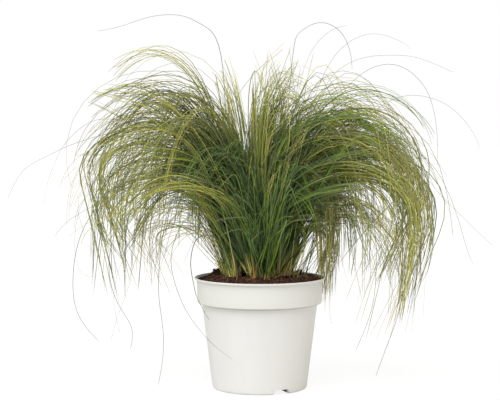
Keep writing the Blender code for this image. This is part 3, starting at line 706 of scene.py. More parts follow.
def bladeTubes(name, points, facing, along, width, tone, material):
    # Ring corner k at a station: point + side cos(a) w + across sin(a) d, with a = 90°, 210°, 330°, w the
    # half width and d the half thickness; side is level and square to the heading, turned by a slow twist.
    # At share u, w = width / 2 (0.6 (1 - u)^0.9 + 0.4) (1 + 0.7 exp(-u / 0.035)), and d = 0.62 w. The map's
    # first value is the tone class and the place round the tube, its second the share along the blade.
    # Where a bend starts at share 0 the first stations coincide and have no direction: validate puts those
    # rings at the origin, so that a thin spike runs from such a blade's root down inside the pot.
    shape = bladeShape
    count, stations = points.shape[:2]
    ahead = np.gradient(points, axis=1)
    ahead /= np.linalg.norm(ahead, axis=2, keepdims=True)
    side = np.stack([-np.sin(facing), np.cos(facing), np.zeros_like(facing)], -1)
    side -= (side * ahead).sum(2, keepdims=True) * ahead
    side /= np.linalg.norm(side, axis=2, keepdims=True)
    across = np.cross(ahead, side)
    twist, growing = (chance.normal(0, spread, (count, 1)) for spread in shape["twist"])
    twist = twist + growing * along
    cosine, sine = np.cos(twist)[..., None], np.sin(twist)[..., None]
    side, across = side * cosine + across * sine, across * cosine - side * sine
    taper = (1 - shape["tipShare"]) * np.maximum(1 - along, 0) ** 0.9 + shape["tipShare"]
    half = 0.5 * width[:, None] * taper * (1 + shape["sheathExtra"] * np.exp(-along / shape["sheathLength"]))
    half = half[:, :-1, None, None]
    angles = np.radians([90.0, 210.0, 330.0])[:, None]
    rings = (points[:, :-1, None] + side[:, :-1, None] * (np.cos(angles) * half)
             + across[:, :-1, None] * (np.sin(angles) * shape["thickness"] * half))
    spots = np.concatenate([rings.reshape(count, -1, 3), points[:, -1:]], axis=1)

    corners, sides, stationOf, starts = tubeTopology(stations)
    blade = np.arange(count)[:, None]
    uv = np.stack([(tone[:, None] + 0.5 + (sides / 3 - 0.5)[None] * 0.8) / toneClasses,
                   along[:, stationOf] * 0.96 + 0.02], -1)
    return makePiece(name, spots.reshape(-1, 3) * mm, (corners + spots.shape[1] * blade).ravel(),
                     (starts + len(corners) * blade).ravel(), material, uv=uv.reshape(-1, 2))


def buildBladeColour():
    # A blade's colour along its length, from pale sheath to green, to olive, to a dry tip. Its class of
    # tone gives three random numbers. The first is its light, partly random tone and partly painted light and
    # shade: 2^stops, at most 2.3, with more contrast near the root as painted shade deep in the clump, and a
    # darker blade is also painted greener and duller, as a blade in shade looks. The second makes it turn
    # early or late and, under the dry share, straw-coloured. The third shifts its hue. Edges are darker than
    # the middle.
    group, given, made = newGroup(
        "bladeColour",
        [("Sheath", "Color", linear(232, 224, 138)), ("Fresh", "Color", linear(112, 138, 70)),
         ("Mature", "Color", linear(138, 148, 78)), ("Tip", "Color", linear(152, 150, 92)),
         ("Straw", "Color", linear(172, 160, 116)), ("Turn", "Float", 0.45), ("Dry", "Float", 0.12),
         ("Contrast", "Float", 0.35)],
        [("Color", "Color"), ("Roughness", "Float")])
    given = given.outputs
    turn = given["Turn"]
    uv = addNode(group, "ShaderNodeUVMap", {"uv_map": "OFBake"}).outputs[0]
    split = separate(uv)
    scaled = times(split["X"], float(toneClasses))
    column, across = mathNode("FLOOR", scaled), mathNode("FRACT", scaled)
    along = mapRange(split["Y"], 0.02, 0.98)
    light, age, tint = (addNode(group, "ShaderNodeTexWhiteNoise", {"noise_dimensions": "1D"},
                                {"W": plus(column, shift)}).outputs["Value"] for shift in (0.37, 31.7, 77.1))

    shifted = plus(along, times(minus(age, 0.5), 0.25))
    colour = mixColour(mapRange(along, 0.015, 0.13), given["Sheath"], given["Fresh"])
    colour = mixColour(mapRange(shifted, times(turn, 0.42), turn), colour, given["Mature"])
    colour = mixColour(mapRange(shifted, plus(times(turn, 0.6), 0.4), 1.1), colour, given["Tip"])
    dry = mathNode("LESS_THAN", age, given["Dry"])
    colour = mixColour(times(dry, 0.8), colour, given["Straw"])
    # painted shade colour: a darker blade's hue turns greener, and below its saturation drops
    hue = plus(minus(mapRange(tint, 0.0, 1.0, 0.484, 0.520), times(light, 0.056)), 0.033)
    # painted shade: contrast grows towards the root, so darker blades darken further deep in the clump
    contrast = times(given["Contrast"], mapRange(along, 0.1, 0.6, 1.6, 0.85))
    stops = times(minus(mathNode("POWER", light, 1.7), 0.36), contrast)
    bright = mathNode("MINIMUM", mathNode("POWER", 2.0, stops), 2.3)
    edge = times(mathNode("ABSOLUTE", minus(across, 0.5)), 0.24)
    skin = addNode(group, "ShaderNodeHueSaturation", inputs={
        "Hue": hue, "Saturation": mapRange(light, 0.0, 1.0, 0.68, 1.12),
        "Value": times(minus(1.0, edge), bright), "Color": colour})
    setInputs(made, {"Color": skin.outputs["Color"], "Roughness": mapRange(along, 0.0, 1.0, 0.42, 0.62)})
    return group


bladeColour = buildBladeColour()
bladeColours = {  # sRGB, 0 to 255; what a blade doesn't say is the group's own
    "green": dict(Turn=0.9, Dry=0.01, Contrast=4.0, Sheath=(190, 172, 84), Fresh=(84, 112, 44),
                  Mature=(100, 122, 58)),
    "crown": dict(Turn=0.95, Dry=0.03, Contrast=1.5, Sheath=(146, 132, 66), Fresh=(76, 104, 44),
                  Mature=(198, 198, 102), Tip=(192, 180, 98)),
    "shaded": dict(Turn=0.8, Dry=0.02, Contrast=2.6, Fresh=(33, 49, 30), Mature=(98, 128, 56)),
    "arching": dict(Turn=0.67, Dry=0.015, Contrast=1.8, Fresh=(60, 82, 42), Mature=(170, 172, 86),
                    Tip=(154, 152, 84)),
    "leafy": dict(Turn=0.8, Dry=0.01, Contrast=1.6, Fresh=(60, 86, 38), Mature=(146, 170, 74),
                  Tip=(166, 164, 88)),
    "worn": dict(Turn=0.4, Dry=0.12, Contrast=2.0, Fresh=(112, 124, 58), Mature=(174, 172, 88),
                 Tip=(174, 166, 108)),
    "bright": dict(Turn=0.8, Dry=0.0, Contrast=1.6, Sheath=(146, 132, 66), Fresh=(66, 92, 42),
                   Mature=(122, 148, 62)),
    "sheath": dict(Turn=0.9, Dry=0.2, Contrast=2.0, Sheath=(150, 112, 62), Fresh=(146, 100, 54),
                   Mature=(138, 96, 50), Tip=(110, 84, 50), Straw=(180, 158, 100)),
    "stray": dict(Turn=0.4, Dry=0.0, Contrast=0.8, Mature=(94, 98, 64), Tip=(106, 102, 80)),
    "fibre": dict(Turn=0.5, Dry=0.2, Contrast=1.6, Sheath=(120, 88, 62), Fresh=(118, 88, 64),
                  Mature=(130, 100, 72), Tip=(140, 112, 80), Straw=(150, 126, 90)),
    "arc": dict(Turn=0.8, Dry=0.0, Contrast=0.7, Sheath=(146, 132, 66), Fresh=(96, 124, 58),
                Mature=(134, 150, 82), Tip=(150, 158, 100)),
    "lime": dict(Turn=0.9, Dry=0.0, Contrast=0.7, Sheath=(232, 228, 108), Fresh=(186, 194, 82),
                 Mature=(120, 140, 60), Tip=(104, 124, 54), Straw=(188, 172, 110)),
}


def bladeMaterial(name, values):
    material, tree, shader = newMaterial(name, 0.5, 0.35)
    inputs = {key: linear(*value) if isinstance(value, tuple) else value for key, value in values.items()}
    skin = addNode(tree, "ShaderNodeGroup", {"node_tree": bladeColour}, inputs).outputs
    setInputs(shader, {"Base Color": skin["Color"], "Roughness": skin["Roughness"]})
    return material


finishes = {name: bladeMaterial(name + "Blade", values) for name, values in bladeColours.items()}

# What groups of blades share, and then each group, in degrees and mm. A pair is the range that strands are
# drawn from. root is a place and its spread in x and y; bend is where the bend starts (a range) and ends
# (a range), as shares of the length.
anyBlades = dict(slot="green_grass", finish="green", perStrand=13, clump=(0, 0.8), loose=1.0, wave=1.8,
                 sway=(-14, 14), bow=(4, 14), square=0.0, longest=900)
combed = dict(anyBlades, slot="arching_grass", finish="arching", perStrand=8, clump=(0.2, 0.9), loose=0.6,
              wave=1.3)
ridge = dict(combed, perStrand=4, clump=(0.4, 0.9), width=(1.4, 2.2))
middle = dict(combed, slot="green_grass", finish="shaded", square=0.25, width=(1.3, 2.4))
wisp = dict(anyBlades, slot="arching_grass", finish="worn", perStrand=2, clump=(0, 0.1), wave=5.0,
            width=(1.0, 1.5))
low = dict(anyBlades, finish="worn", perStrand=4, wave=3.0, square=0.25, width=(1.0, 1.6))
crown = dict(anyBlades, finish="crown", perStrand=7, clump=(0, 0.3), wave=2.6, tipHeight=(0, 1))
front = dict(anyBlades, nodes=("front_inner", "front_outer"), wave=2.6)
fan = dict(front, finish="bright", perStrand=4, clump=(0, 0.3), bend=(0, 0.2, 0.9, 1.1))
sheath = dict(anyBlades, perStrand=2, clump=(0, 0.2), bend=(0.2, 0.4, 1.0, 1.2), tipHeight=(0, 1))
grassLooks = {
    "leftTop": dict(combed, nodes="left_top", count=126, seed=5652, root=(-20, 14, 16, 26),
        azimuth=(155, 206), lean=(17, 26), bow=(18, 30), hang=(70, 166), square=0.04, rise=(209, 243),
        reach=(92, 224), bend=(0, 0.37, 0.77, 1.22), tipHeight=(122, 310), width=(1.3, 2.3)),
    "leftHigh": dict(combed, nodes="left_top", count=80, seed=3199, root=(-18, 14, 16, 26),
        azimuth=(158, 204), lean=(1, 44), bow=(5, 25), hang=(88, 124), rise=(186, 300), reach=(148, 232),
        bend=(0.07, 0.21, 0.88, 1.0), tipHeight=(259, 370), width=(1.3, 2.2)),
    "leftArch": dict(combed, nodes="left_arch", finish="leafy", count=190, seed=6130, root=(-26, 22, 16, 16),
        azimuth=(152, 208), lean=(-6, 4), bow=(-4, 8), hang=(90, 113), rise=(133, 182), reach=(204, 228),
        bend=(0.39, 0.5, 0.62, 1.24), tipHeight=(305, 358), width=(1.3, 2.4)),
    "leftCurtain": dict(combed, nodes="left_arch", count=167, seed=3237, root=(-26, 10, 16, 28),
        azimuth=(162, 200), lean=(-6, 36), bow=(-10, -5), hang=(173, 198), rise=(117, 212), reach=(175, 202),
        bend=(0.04, 0.22, 0.45, 0.55), tipHeight=(104, 307), width=(1.6, 2.7)),
    "leftRidge": dict(ridge, nodes="left_arch", finish="leafy", count=42, seed=5766, root=(-26, 10, 12, 16),
        azimuth=(168, 192), lean=(-5, -1), bow=(-2, 28), hang=(143, 160), square=0.17, rise=(149, 168),
        reach=(177, 198), bend=(0.3, 0.39, 0.57, 0.63), tipHeight=(139, 327)),
    "leftEdge": dict(ridge, nodes="left_arch", count=36, seed=8926, root=(-26, 10, 12, 16),
        azimuth=(172, 190), lean=(-1, 3), bow=(0, 13), hang=(171, 179), square=0.12, rise=(153, 205),
        reach=(186, 198), bend=(0.14, 0.28, 0.54, 0.66), tipHeight=(120, 223)),
    "leftWisp": dict(wisp, nodes="left_arch", count=63, seed=104, root=(-26, 10, 16, 28), azimuth=(150, 215),
        lean=(-6, 9), bow=(-9, 10), hang=(172, 190), rise=(89, 300), reach=(205, 229),
        bend=(0.05, 0.19, 0.62, 0.76), tipHeight=(176, 287)),
    "leftMiddle": dict(middle, nodes="left_middle", count=230, seed=1050, root=(-20, 14, 20, 28),
        azimuth=(132, 228), lean=(31, 39), bow=(12, 19), hang=(170, 191), rise=(171, 203), reach=(45, 122),
        bend=(0.07, 0.24, 0.47, 0.64), tipHeight=(179, 319)),
    "leftLow": dict(low, nodes="left_low", count=80, seed=232, root=(-39, 10, 6, 12), azimuth=(155, 210),
        lean=(1, 22), bow=(-10, 26), hang=(156, 198), rise=(59, 121), reach=(95, 146),
        bend=(0.03, 0.36, 0.51, 0.67), tipHeight=(134, 299)),
    "crownLeft": dict(crown, nodes="crown_left", count=230, seed=6714, root=(-20, 20, 14, 26),
        azimuth=(150, 210), lean=(2, 13), bow=(5, 13), hang=(37, 79), square=0.12, rise=(93, 277),
        reach=(0, 50), bend=(0.04, 0.49, 0.98, 1.1), width=(1.2, 2.1)),
    "crownRight": dict(crown, nodes="crown_right", count=368, seed=1410, loose=1.3, root=(6, 10, 16, 28),
        azimuth=(-50, 50), lean=(-2, 9), bow=(-7, -1), hang=(3, 118), square=0.03, rise=(116, 287),
        reach=(8, 75), bend=(0.4, 0.5, 0.75, 0.87), width=(1.2, 2.2)),
    "upright": dict(crown, nodes="crown_right", count=136, seed=2348, perStrand=3, loose=1.3, wave=3.0,
        root=(8, 10, 6, 26), azimuth=(-60, 60), lean=(-6, 1), bow=(-10, -4), hang=(74, 92), square=0.05,
        rise=(128, 243), reach=(4, 42), bend=(0.42, 0.5, 0.9, 1.19), width=(1.1, 2.0)),
    "leanBack": dict(crown, nodes="crown_right", count=30, seed=3250, perStrand=2, clump=(0, 0.1), wave=3.0,
        root=(32, 14, 12, 24), azimuth=(160, 205), lean=(-6, 6), hang=(20, 60), rise=(190, 300),
        reach=(8, 56), bend=(0.1, 0.4, 1.0, 1.2), width=(1.1, 1.8)),
    "front": dict(front, count=165, seed=6609, perStrand=6, clump=(0, 0.2), loose=1.5, root=(4, -20, 28, 14),
        azimuth=(175, 365), lean=(2, 24), hang=(20, 80), rise=(70, 180), reach=(16, 100),
        bend=(0, 0.2, 1.0, 1.3), tipHeight=(0, 1), width=(1.5, 2.5)),
    "crossing": dict(fan, count=60, seed=9569, perStrand=1, clump=(0, 0.1), wave=3.0, root=(0, -14, 40, 20),
        azimuth=(150, 390), lean=(4, 34), hang=(84, 140), rise=(84, 170), reach=(30, 110),
        tipHeight=(150, 300), width=(1.0, 1.7)),
    "leftFan": dict(fan, count=24, seed=1950, root=(-10, -16, 6, 6), azimuth=(178, 212), lean=(4, 14),
        hang=(136, 160), rise=(130, 180), reach=(66, 122), tipHeight=(205, 270), width=(1.1, 1.7)),
    "rightFan": dict(fan, count=34, seed=9498, perStrand=6, root=(22, -10, 10, 8), azimuth=(-28, 8),
        lean=(10, 24), hang=(130, 156), rise=(84, 150), reach=(44, 84), tipHeight=(190, 260),
        width=(1.2, 1.9)),
    "back": dict(anyBlades, nodes=("back_inner", "back_outer"), finish="shaded", count=300, seed=115,
        root=(0, 30, 34, 18), azimuth=(20, 160), lean=(2, 26), hang=(20, 110), rise=(70, 160),
        reach=(20, 95), bend=(0, 0.2, 1.0, 1.2), tipHeight=(0, 1), width=(1.3, 2.4)),
    "rightTop": dict(combed, nodes="right_top", finish="leafy", count=130, seed=116, root=(18, 12, 16, 26),
        azimuth=(-28, 30), lean=(-6, 20), bow=(-7, 15), hang=(175, 193), square=0.12, rise=(186, 245),
        reach=(156, 223), bend=(0.22, 0.45, 1.1, 1.25), tipHeight=(313, 370), width=(1.3, 2.3)),
    "rightArch": dict(combed, nodes="right_arch", finish="leafy", count=285, seed=5933,
        root=(24, 10, 16, 28), azimuth=(-30, 30), lean=(-6, 2), bow=(-9, 8), hang=(171, 189), square=0.12,
        rise=(100, 188), reach=(77, 146), bend=(0.06, 0.2, 0.45, 0.6), tipHeight=(133, 370),
        width=(1.3, 2.4)),
    "rightCurtain": dict(combed, nodes="right_arch", count=212, seed=8908, root=(24, 10, 16, 28),
        azimuth=(-24, 24), lean=(-6, 11), bow=(-6, 17), hang=(184, 198), square=0.01, rise=(123, 231),
        reach=(173, 197), bend=(0, 0.27, 0.45, 0.98), tipHeight=(41, 270), width=(1.6, 2.8)),
    "rightRidge": dict(ridge, nodes="right_arch", finish="leafy", count=80, seed=53, perStrand=10,
        root=(24, 10, 12, 16), azimuth=(-14, 14), lean=(24, 46), bow=(27, 30), hang=(83, 192), square=0.25,
        rise=(161, 213), reach=(170, 182), bend=(0.38, 0.48, 0.75, 0.8), tipHeight=(177, 300)),
    "rightInner": dict(anyBlades, nodes="right_middle", slot="arching_grass", finish="arching", count=20,
        seed=2144, perStrand=6, clump=(0.2, 0.8), root=(26, -4, 12, 10), azimuth=(-24, 6), lean=(-6, 16),
        bow=(0, 5), hang=(114, 189), square=0.25, rise=(204, 251), reach=(70, 224),
        bend=(0.3, 0.34, 0.48, 0.88), tipHeight=(137, 168), width=(1.3, 2.0)),
    "hanging": dict(combed, nodes="rim_tuft", count=60, seed=7087, perStrand=6, clump=(0.3, 0.9),
        root=(34, 4, 6, 14), azimuth=(-14, 10), lean=(-6, 1), bow=(-10, 7), hang=(191, 198), rise=(62, 92),
        reach=(37, 74), bend=(0.05, 0.26, 0.54, 0.66), tipHeight=(85, 149), width=(1.3, 2.1)),
    "rightWisp": dict(wisp, nodes="right_arch", count=61, seed=8453, root=(24, 10, 16, 28),
        azimuth=(-35, 35), lean=(3, 22), bow=(2, 24), hang=(154, 184), square=0.25, rise=(178, 275),
        reach=(87, 232), bend=(0.05, 0.19, 0.7, 1.09), tipHeight=(82, 251)),
    "rightMiddle": dict(middle, nodes="right_middle", count=320, seed=3769, root=(22, 10, 22, 28),
        azimuth=(-48, 48), lean=(-6, 4), bow=(-6, 19), hang=(89, 119), rise=(67, 172), reach=(125, 157),
        bend=(0.33, 0.5, 1.13, 1.25), tipHeight=(257, 370)),
    "rightLow": dict(low, nodes="right_low", count=52, seed=8859, root=(36, 14, 8, 16), azimuth=(-35, 35),
        lean=(-6, 44), bow=(-10, 4), hang=(151, 198), rise=(69, 117), reach=(117, 167),
        bend=(0.02, 0.12, 0.45, 0.92), tipHeight=(41, 146)),
    "rimTuft": dict(combed, nodes="rim_tuft", finish="worn", count=170, seed=7976, clump=(0.1, 0.7),
        root=(34, 4, 6, 14), azimuth=(-14, 10), lean=(-6, 1), bow=(-9, -3), hang=(165, 183), square=0.25,
        rise=(133, 300), reach=(53, 77), longest=400, bend=(0.14, 0.24, 0.64, 0.76), tipHeight=(74, 295),
        width=(1.2, 2.0)),
    "leftSheath": dict(sheath, nodes="crown_left", finish="lime", count=70, seed=61, root=(-37, -1, 7, 10),
        azimuth=(150, 240), lean=(2, 18), hang=(10, 50), rise=(12, 56), reach=(4, 22), width=(2.0, 3.4)),
    "middleSheath": dict(sheath, nodes=("front_inner", "front_outer"), count=40, seed=62,
        root=(8, -28, 22, 6), azimuth=(190, 350), lean=(2, 18), hang=(8, 36), rise=(50, 120), reach=(6, 40),
        width=(2.2, 3.2)),
    "sheath": dict(sheath, nodes=("front_inner", "front_outer"), slot="dry_blades", finish="sheath",
        count=40, seed=123, perStrand=4, root=(2, -27, 7, 5), azimuth=(170, 370), lean=(0, 12), hang=(8, 50),
        rise=(16, 44), reach=(2, 8), width=(2.0, 3.2)),
}


def nodesNamed(starts):
    starts = (starts,) if isinstance(starts, str) else starts
    return sorted(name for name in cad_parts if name.startswith(tuple(starts)))


bladeFaces = 0
for name, look in grassLooks.items():
    count = look["count"]
    draws = np.random.default_rng(look["seed"])
    *grown, strandOf = growPaths(look, bladeShape, draws)
    points, facing, along = readStations(bladeShape["stations"], *grown)
    width = draws.uniform(*look["width"], count)
    strandTone = draws.integers(0, toneClasses, count)[strandOf]
    sharesTone = draws.uniform(0, 1, count) < bladeShape["strandTones"]
    tone = np.where(sharesTone, strandTone, draws.integers(0, toneClasses, count))
    piece = bladeTubes(name + "Blades", points, facing, along, width, tone, finishes[look["finish"]])
    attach(piece, "root")
    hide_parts(*nodesNamed(look["nodes"]))
    bladeFaces += count * (6 * (points.shape[1] - 2) + 4)
print("tufts:", sum(look["count"] for look in grassLooks.values()), "blades,", bladeFaces, "triangles")


# Stray blades: single long blades through way-points

strayLines = {  # azimuth in degrees, then (distance from the axis, height) in mm
    "topLeft": (156, [(44, 145), (47, 300), (54, 445), (86, 474), (115, 487), (160, 486), (205, 473),
                (241, 468)]),
    "farLeft": (204, [(48, 145), (90, 260), (160, 335), (243, 322), (281, 306), (316, 288), (335, 252)]),
    "leftCurtain": (180, [(48, 145), (85, 235), (140, 285), (200, 250), (236, 195), (244, 127), (234, 88),
                    (208, 58)]),
    "leftBack": (156, [(49, 145), (82, 230), (135, 275), (190, 240), (226, 165), (215, 103), (187, 68),
                 (192, 36)]),
    "leftFront": (228, [(44, 145), (75, 250), (125, 290), (170, 240), (186, 150), (178, 105), (176, 65),
                  (186, 25)]),
    "beforePot": ((228, 228, 228, 228, 228, 229, 241, 251), [(50, 145), (85, 215), (130, 235), (165, 188),
                  (154, 143), (133, 105), (118, 70), (97, 49)]),
    "topLoop": (48, [(44, 145), (50, 300), (66, 441), (81, 465), (122, 481), (166, 471), (188, 444),
                (193, 417)]),
    "topRight": (24, [(42, 145), (52, 270), (90, 390), (139, 428), (192, 435), (238, 432), (294, 412)]),
    "highRight": (24, [(48, 145), (85, 240), (150, 345), (205, 380), (254, 379), (294, 362), (327, 327),
                  (335, 306)]),
    "farRight": (0, [(44, 145), (80, 250), (150, 310), (205, 285), (234, 251), (254, 232), (280, 206),
                 (306, 183)]),
    "rightFront": (-24, [(42, 145), (58, 250), (100, 300), (140, 275), (158, 215), (160, 160), (155, 109),
                   (132, 54)]),
    "rightLow": (0, [(49, 145), (85, 215), (135, 245), (175, 205), (186, 150), (183, 101), (164, 49),
                 (151, 12)]),
}
extraLines = {
    "topRise": (30, [(40, 145), (48, 300), (62, 400), (84, 446), (112, 468), (134, 474)]),
    "highArc": (12, [(44, 145), (70, 300), (118, 395), (176, 424), (222, 396), (240, 345), (242, 284)]),
    "edgeRight": (-10, [(44, 145), (90, 270), (165, 322), (220, 296), (250, 240), (268, 180), (276, 165)]),
    "hookRight": (18, [(44, 145), (96, 260), (180, 300), (236, 250), (250, 190), (238, 140), (222, 120),
                  (214, 92)]),
    "farTop": (14, [(42, 145), (60, 330), (98, 430), (148, 462), (192, 452), (206, 442)]),
    "plumbRight": (-4, [(46, 145), (100, 260), (168, 285), (198, 220), (200, 140), (197, 70)]),
    "rimDrop": (-6, [(36, 145), (56, 208), (82, 210), (92, 150), (90, 112), (94, 82)]),
    "hookLeft": (190, [(46, 145), (100, 250), (180, 290), (228, 250), (240, 190), (231, 152), (209, 150)]),
    "crossLeft": (200, [(46, 145), (90, 235), (140, 255), (168, 210), (172, 150), (190, 105), (200, 70)]),
    "wideLeft": (172, [(46, 145), (110, 300), (200, 352), (256, 322), (282, 270), (288, 236)]),
    "lowLeft": (184, [(44, 145), (92, 206), (140, 212), (176, 172), (190, 120), (181, 70)]),
}
faintLines = {"farLeft", "topRight", "highRight", *extraLines}
fallenLines = {  # x, y and height in mm, lying on the soil
    "overSoil": [(19, -32, 146), (25, -33, 150), (33, -34, 152), (46, -33, 152), (55, -30, 146)],
    "curl": [(3, -40, 177), (8, -40, 173), (12, -38, 160), (16, -36, 146)],
    "forkLeft": [(-36, -25, 146), (-40, -38, 148), (-41, -52, 146), (-42, -62, 142)],
    "forkRight": [(-36, -25, 146), (-29, -43, 150), (-30, -52, 147), (-31, -63, 143)],
    "backCurl": [(20, 35, 145), (33, 40, 152), (46, 44, 153), (57, 44, 146)],
}
frontLines = {  # x, y and height in mm, before the clump
    "arcLow": [(3, -34, 145), (-9, -44, 183), (-20, -52, 208), (-35, -56, 209), (-53, -58, 201)],
    "arcHigh": [(4, -32, 145), (-2, -44, 196), (-14, -52, 223), (-38, -56, 225), (-59, -58, 221)],
    "arcCore": [(19, -30, 145), (15, -46, 196), (10, -52, 209), (-3, -56, 204), (-15, -58, 190)],
    "loopRight": [(25, -28, 145), (27, -44, 209), (30, -52, 244), (37, -56, 255), (43, -58, 245),
                  (52, -60, 223), (58, -60, 210)],
    "fallShort": [(23, -26, 145), (28, -44, 222), (35, -54, 266), (48, -58, 242), (61, -60, 214)],
    "fallWide": [(21, -24, 145), (31, -42, 234), (43, -52, 285), (55, -56, 289), (73, -60, 279),
                 (88, -62, 266)],
    "fallMiddle": [(22, -28, 145), (34, -44, 228), (45, -54, 264), (54, -58, 263), (69, -62, 253),
                   (80, -64, 241)],
    "bowLeft": [(-6, -24, 145), (-18, -40, 228), (-30, -50, 277), (-43, -54, 272), (-53, -56, 260),
                (-62, -58, 248)],
    "bowMiddle": [(-13, -20, 145), (-30, -36, 215), (-34, -48, 252), (-25, -54, 251), (-16, -56, 243),
                  (-7, -58, 234)],
    "leanLeft": [(-2, -30, 145), (-16, -44, 197), (-25, -48, 209), (-35, -52, 225), (-51, -56, 247)],
    "overBand": [(-31, 2, 145), (-54, -6, 193), (-80, -14, 196), (-89, -18, 166), (-84, -22, 132),
                 (-80, -34, 121), (-73, -46, 109), (-64, -56, 95)],
}
lineShape = {  # mm; facing in degrees
    "stations": 44, "smoothings": 8, "width": 1.15, "faintWidth": 0.8, "frontWidth": 1.5, "frontFacing": -80,
    "fibreStations": 12, "fallenWidth": 1.5, "fallenFacing": -20, "rootPlace": (0.35, 0.93), "rootTurn": 1.3,
    "rootLength": (5, 19), "rootHump": (0.3, 2.4), "rootWidth": (0.5, 1.0), "rootRaised": 0.2,
    "fromEdge": 1.5,
}


def smoothLine(wayPoints, stations):
    # a Catmull-Rom curve through points (w, 3), read at an even number of stations
    ends = np.concatenate([[2 * wayPoints[0] - wayPoints[1]], wayPoints, [2 * wayPoints[-1] - wayPoints[-2]]])
    spot = np.linspace(0, len(wayPoints) - 1, stations)
    low = np.minimum(spot.astype(int), len(wayPoints) - 2)
    t = (spot - low)[:, None]
    a, b, c, d = (ends[low + k] for k in range(4))
    square, cube = 2 * a - 5 * b + 4 * c - d, 3 * b - a - 3 * c + d
    return 0.5 * (2 * b + (c - a) * t + square * t ** 2 + cube * t ** 3)


def lineBlades(name, points, facing, width, material):
    # blades along given paths (n, stations, 3); facing in degrees, one number or one for each point
    count, stations = points.shape[:2]
    facing = np.broadcast_to(np.radians(facing), (count, stations))
    along = np.tile(np.linspace(0, 1, stations), (count, 1))
    tone = chance.integers(0, toneClasses, count)
    return bladeTubes(name, points, facing, along, np.broadcast_to(width, count), tone, material)


def throughPoints(lines, stations):
    return np.stack([smoothLine(np.array(way, dtype=float), stations) for way in lines])


def buildStrays(lines, shape, material):
    # curves through the way-points, smoothed by the weights 1 2 1
    ways = []
    for turn, way in lines.values():
        distance, height = np.array(way, dtype=float).T
        ways.append(around(distance, turn, height))
    points = throughPoints(ways, shape["stations"])
    for _ in range(shape["smoothings"]):
        points[:, 1:-1] = (points[:, :-2] + 2 * points[:, 1:-1] + points[:, 2:]) / 4
    facing = np.array([np.ravel(turn)[0] for turn, _ in lines.values()])[:, None]
    width = [shape["faintWidth"] if name in faintLines else shape["width"] for name in lines]
    return lineBlades("strayBlades", points, facing, width, material)


def buildFibres(soil, fallen, shape, material):
    # fine roots lie on the soil as arcs: heading turns evenly along each, height follows the soil with a
    # low hump of sin(pi u); a few fallen blades follow way-points of their own
    count = soil["roots"]
    u = np.linspace(0, 1, shape["fibreStations"])[None]
    radius = soil["edgeRadius"] * chance.uniform(*shape["rootPlace"], count)
    start = around(radius, chance.uniform(0, 360, count), 0.0)
    heading = chance.uniform(0, 2 * np.pi, (count, 1)) + chance.normal(0, shape["rootTurn"], (count, 1)) * u
    length = chance.uniform(*shape["rootLength"], (count, 1, 1))
    path = np.stack([runningSum(np.cos(heading)), runningSum(np.sin(heading)), 0 * heading], -1) * length
    path += start[:, None]
    reach = np.hypot(path[..., 0], path[..., 1])
    path[..., :2] *= np.minimum(1, (soil["edgeRadius"] - shape["fromEdge"]) / reach)[..., None]
    hump = chance.uniform(*shape["rootHump"], (count, 1)) * np.sin(np.pi * u)
    path[..., 2] = soilHeight(soil, path[..., 0], path[..., 1]) + shape["rootRaised"] + hump
    points = np.concatenate([path, throughPoints(fallen.values(), shape["fibreStations"])])
    facing = np.concatenate([np.degrees(heading), np.full((len(fallen), u.size), shape["fallenFacing"])])
    width = chance.uniform(*shape["rootWidth"], count)
    width = np.concatenate([width, np.full(len(fallen), shape["fallenWidth"])])
    return lineBlades("soilFibres", points, facing, width, material)


strayBlades = buildStrays({**strayLines, **extraLines}, lineShape, finishes["stray"])
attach(strayBlades, "root")
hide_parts(*nodesNamed("stray_"))
frontArcs = lineBlades("frontArcs", throughPoints(frontLines.values(), lineShape["stations"]),
                       lineShape["frontFacing"], lineShape["frontWidth"], finishes["arc"])
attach(frontArcs, "root")
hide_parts(*nodesNamed(("front_inner", "front_outer")))
print("strays:", len(strayLines) + len(extraLines), "front arcs:", len(frontLines))

soilFibres = buildFibres(soilShape, fallenLines, lineShape, finishes["fibre"])
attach(soilFibres, "root")
print("fibres:", soilShape["roots"] + len(fallenLines))


# Stage: plain pale floor, white surroundings, soft light from the front left and above

stage = {  # colours of the floor in sRGB, 0 to 255; place and aim of the camera in metres
    "floorColour": (226, 226, 226), "floorCloud": (223, 223, 223), "floorSeen": (96, 96, 96),
    "floorSize": 30.0, "floorGlow": 0.865, "seenWorld": 1.0, "lightWorld": 0.66,
    "rightTint": (1.17, 1.05, 0.85, 1.0), "leftTint": (0.96, 0.935, 0.83, 1.0),
    "keyStrength": 2.3, "keyAngle": 50.0, "keyFrom": (-0.28, -0.62, 1.0),
    "lens": 108.17, "sensor": 36, "cameraPlace": (-0.0126, -1.9466, 0.3549), "aimHeight": 0.2446,
}
white = (1, 1, 1, 1)


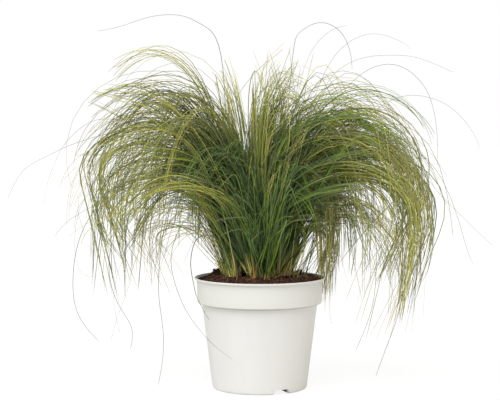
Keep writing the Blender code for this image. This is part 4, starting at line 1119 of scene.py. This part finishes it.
def buildFloor(settings):
    # darker and faintly glowing where the camera sees it, so that it is white in the picture but sends
    # little light back up
    half = settings["floorSize"] / 2
    corners = np.array([(-half, -half, 0), (half, -half, 0), (half, half, 0), (-half, half, 0)])
    material, tree, shader = newMaterial("paleFloor", 0.8, 0.2)
    cloud = patches(objectPlace(tree), 3.0, 0.3, 0.7, detail=2.0)
    pale = mixColour(cloud["Mask"], linear(*settings["floorColour"]), linear(*settings["floorCloud"]))
    seen = seenByCamera(tree)
    setInputs(shader, {"Base Color": mixColour(seen, pale, linear(*settings["floorSeen"])),
                       "Emission Color": white, "Emission Strength": times(seen, settings["floorGlow"])})
    return makePiece("floor", corners, np.arange(4), np.array([0]), material, flat=True)


def buildWorld(settings):
    # white where the camera looks straight at it, dimmer as a light, with a tint to each side
    world = bpy.data.worlds.new("whiteStudio")
    bpy.context.scene.world = world
    world.use_nodes = True
    tree = world.node_tree
    seen = seenByCamera(tree)
    strength = mapRange(seen, 0.0, 1.0, settings["lightWorld"], settings["seenWorld"])
    direction = addNode(tree, "ShaderNodeTexCoord").outputs["Generated"]
    across = separate(direction)["X"]
    lit = mixColour(mapRange(across, -0.1, -0.9), white, settings["leftTint"])
    lit = mixColour(mapRange(across, 0.1, 0.9), lit, settings["rightTint"])
    setInputs(tree.nodes["Background"], {"Color": mixColour(seen, lit, white), "Strength": strength})


def buildLights(settings):
    key = bpy.data.lights.new("keySun", "SUN")
    key.energy = settings["keyStrength"]
    key.angle = math.radians(settings["keyAngle"])
    holder = bpy.data.objects.new("keySun", key)
    bpy.context.scene.collection.objects.link(holder)
    holder.rotation_euler = Vector(settings["keyFrom"]).to_track_quat("Z", "Y").to_euler()


def buildCamera(settings):
    camera = bpy.data.cameras.new("photoCamera")
    camera.sensor_width = settings["sensor"]
    camera.sensor_fit = "HORIZONTAL"
    camera.lens = settings["lens"]
    camera.clip_end = 100
    holder = bpy.data.objects.new("photoCamera", camera)
    bpy.context.scene.collection.objects.link(holder)
    holder.location = settings["cameraPlace"]
    _, back, height = settings["cameraPlace"]
    pitch = math.atan2(height - settings["aimHeight"], -back)
    holder.rotation_euler = (math.pi / 2 - pitch, 0, 0)
    bpy.context.scene.camera = holder


floor = buildFloor(stage)
buildWorld(stage)
buildLights(stage)
buildCamera(stage)
bpy.context.scene.view_settings.view_transform = "Standard"
print("stage ready")
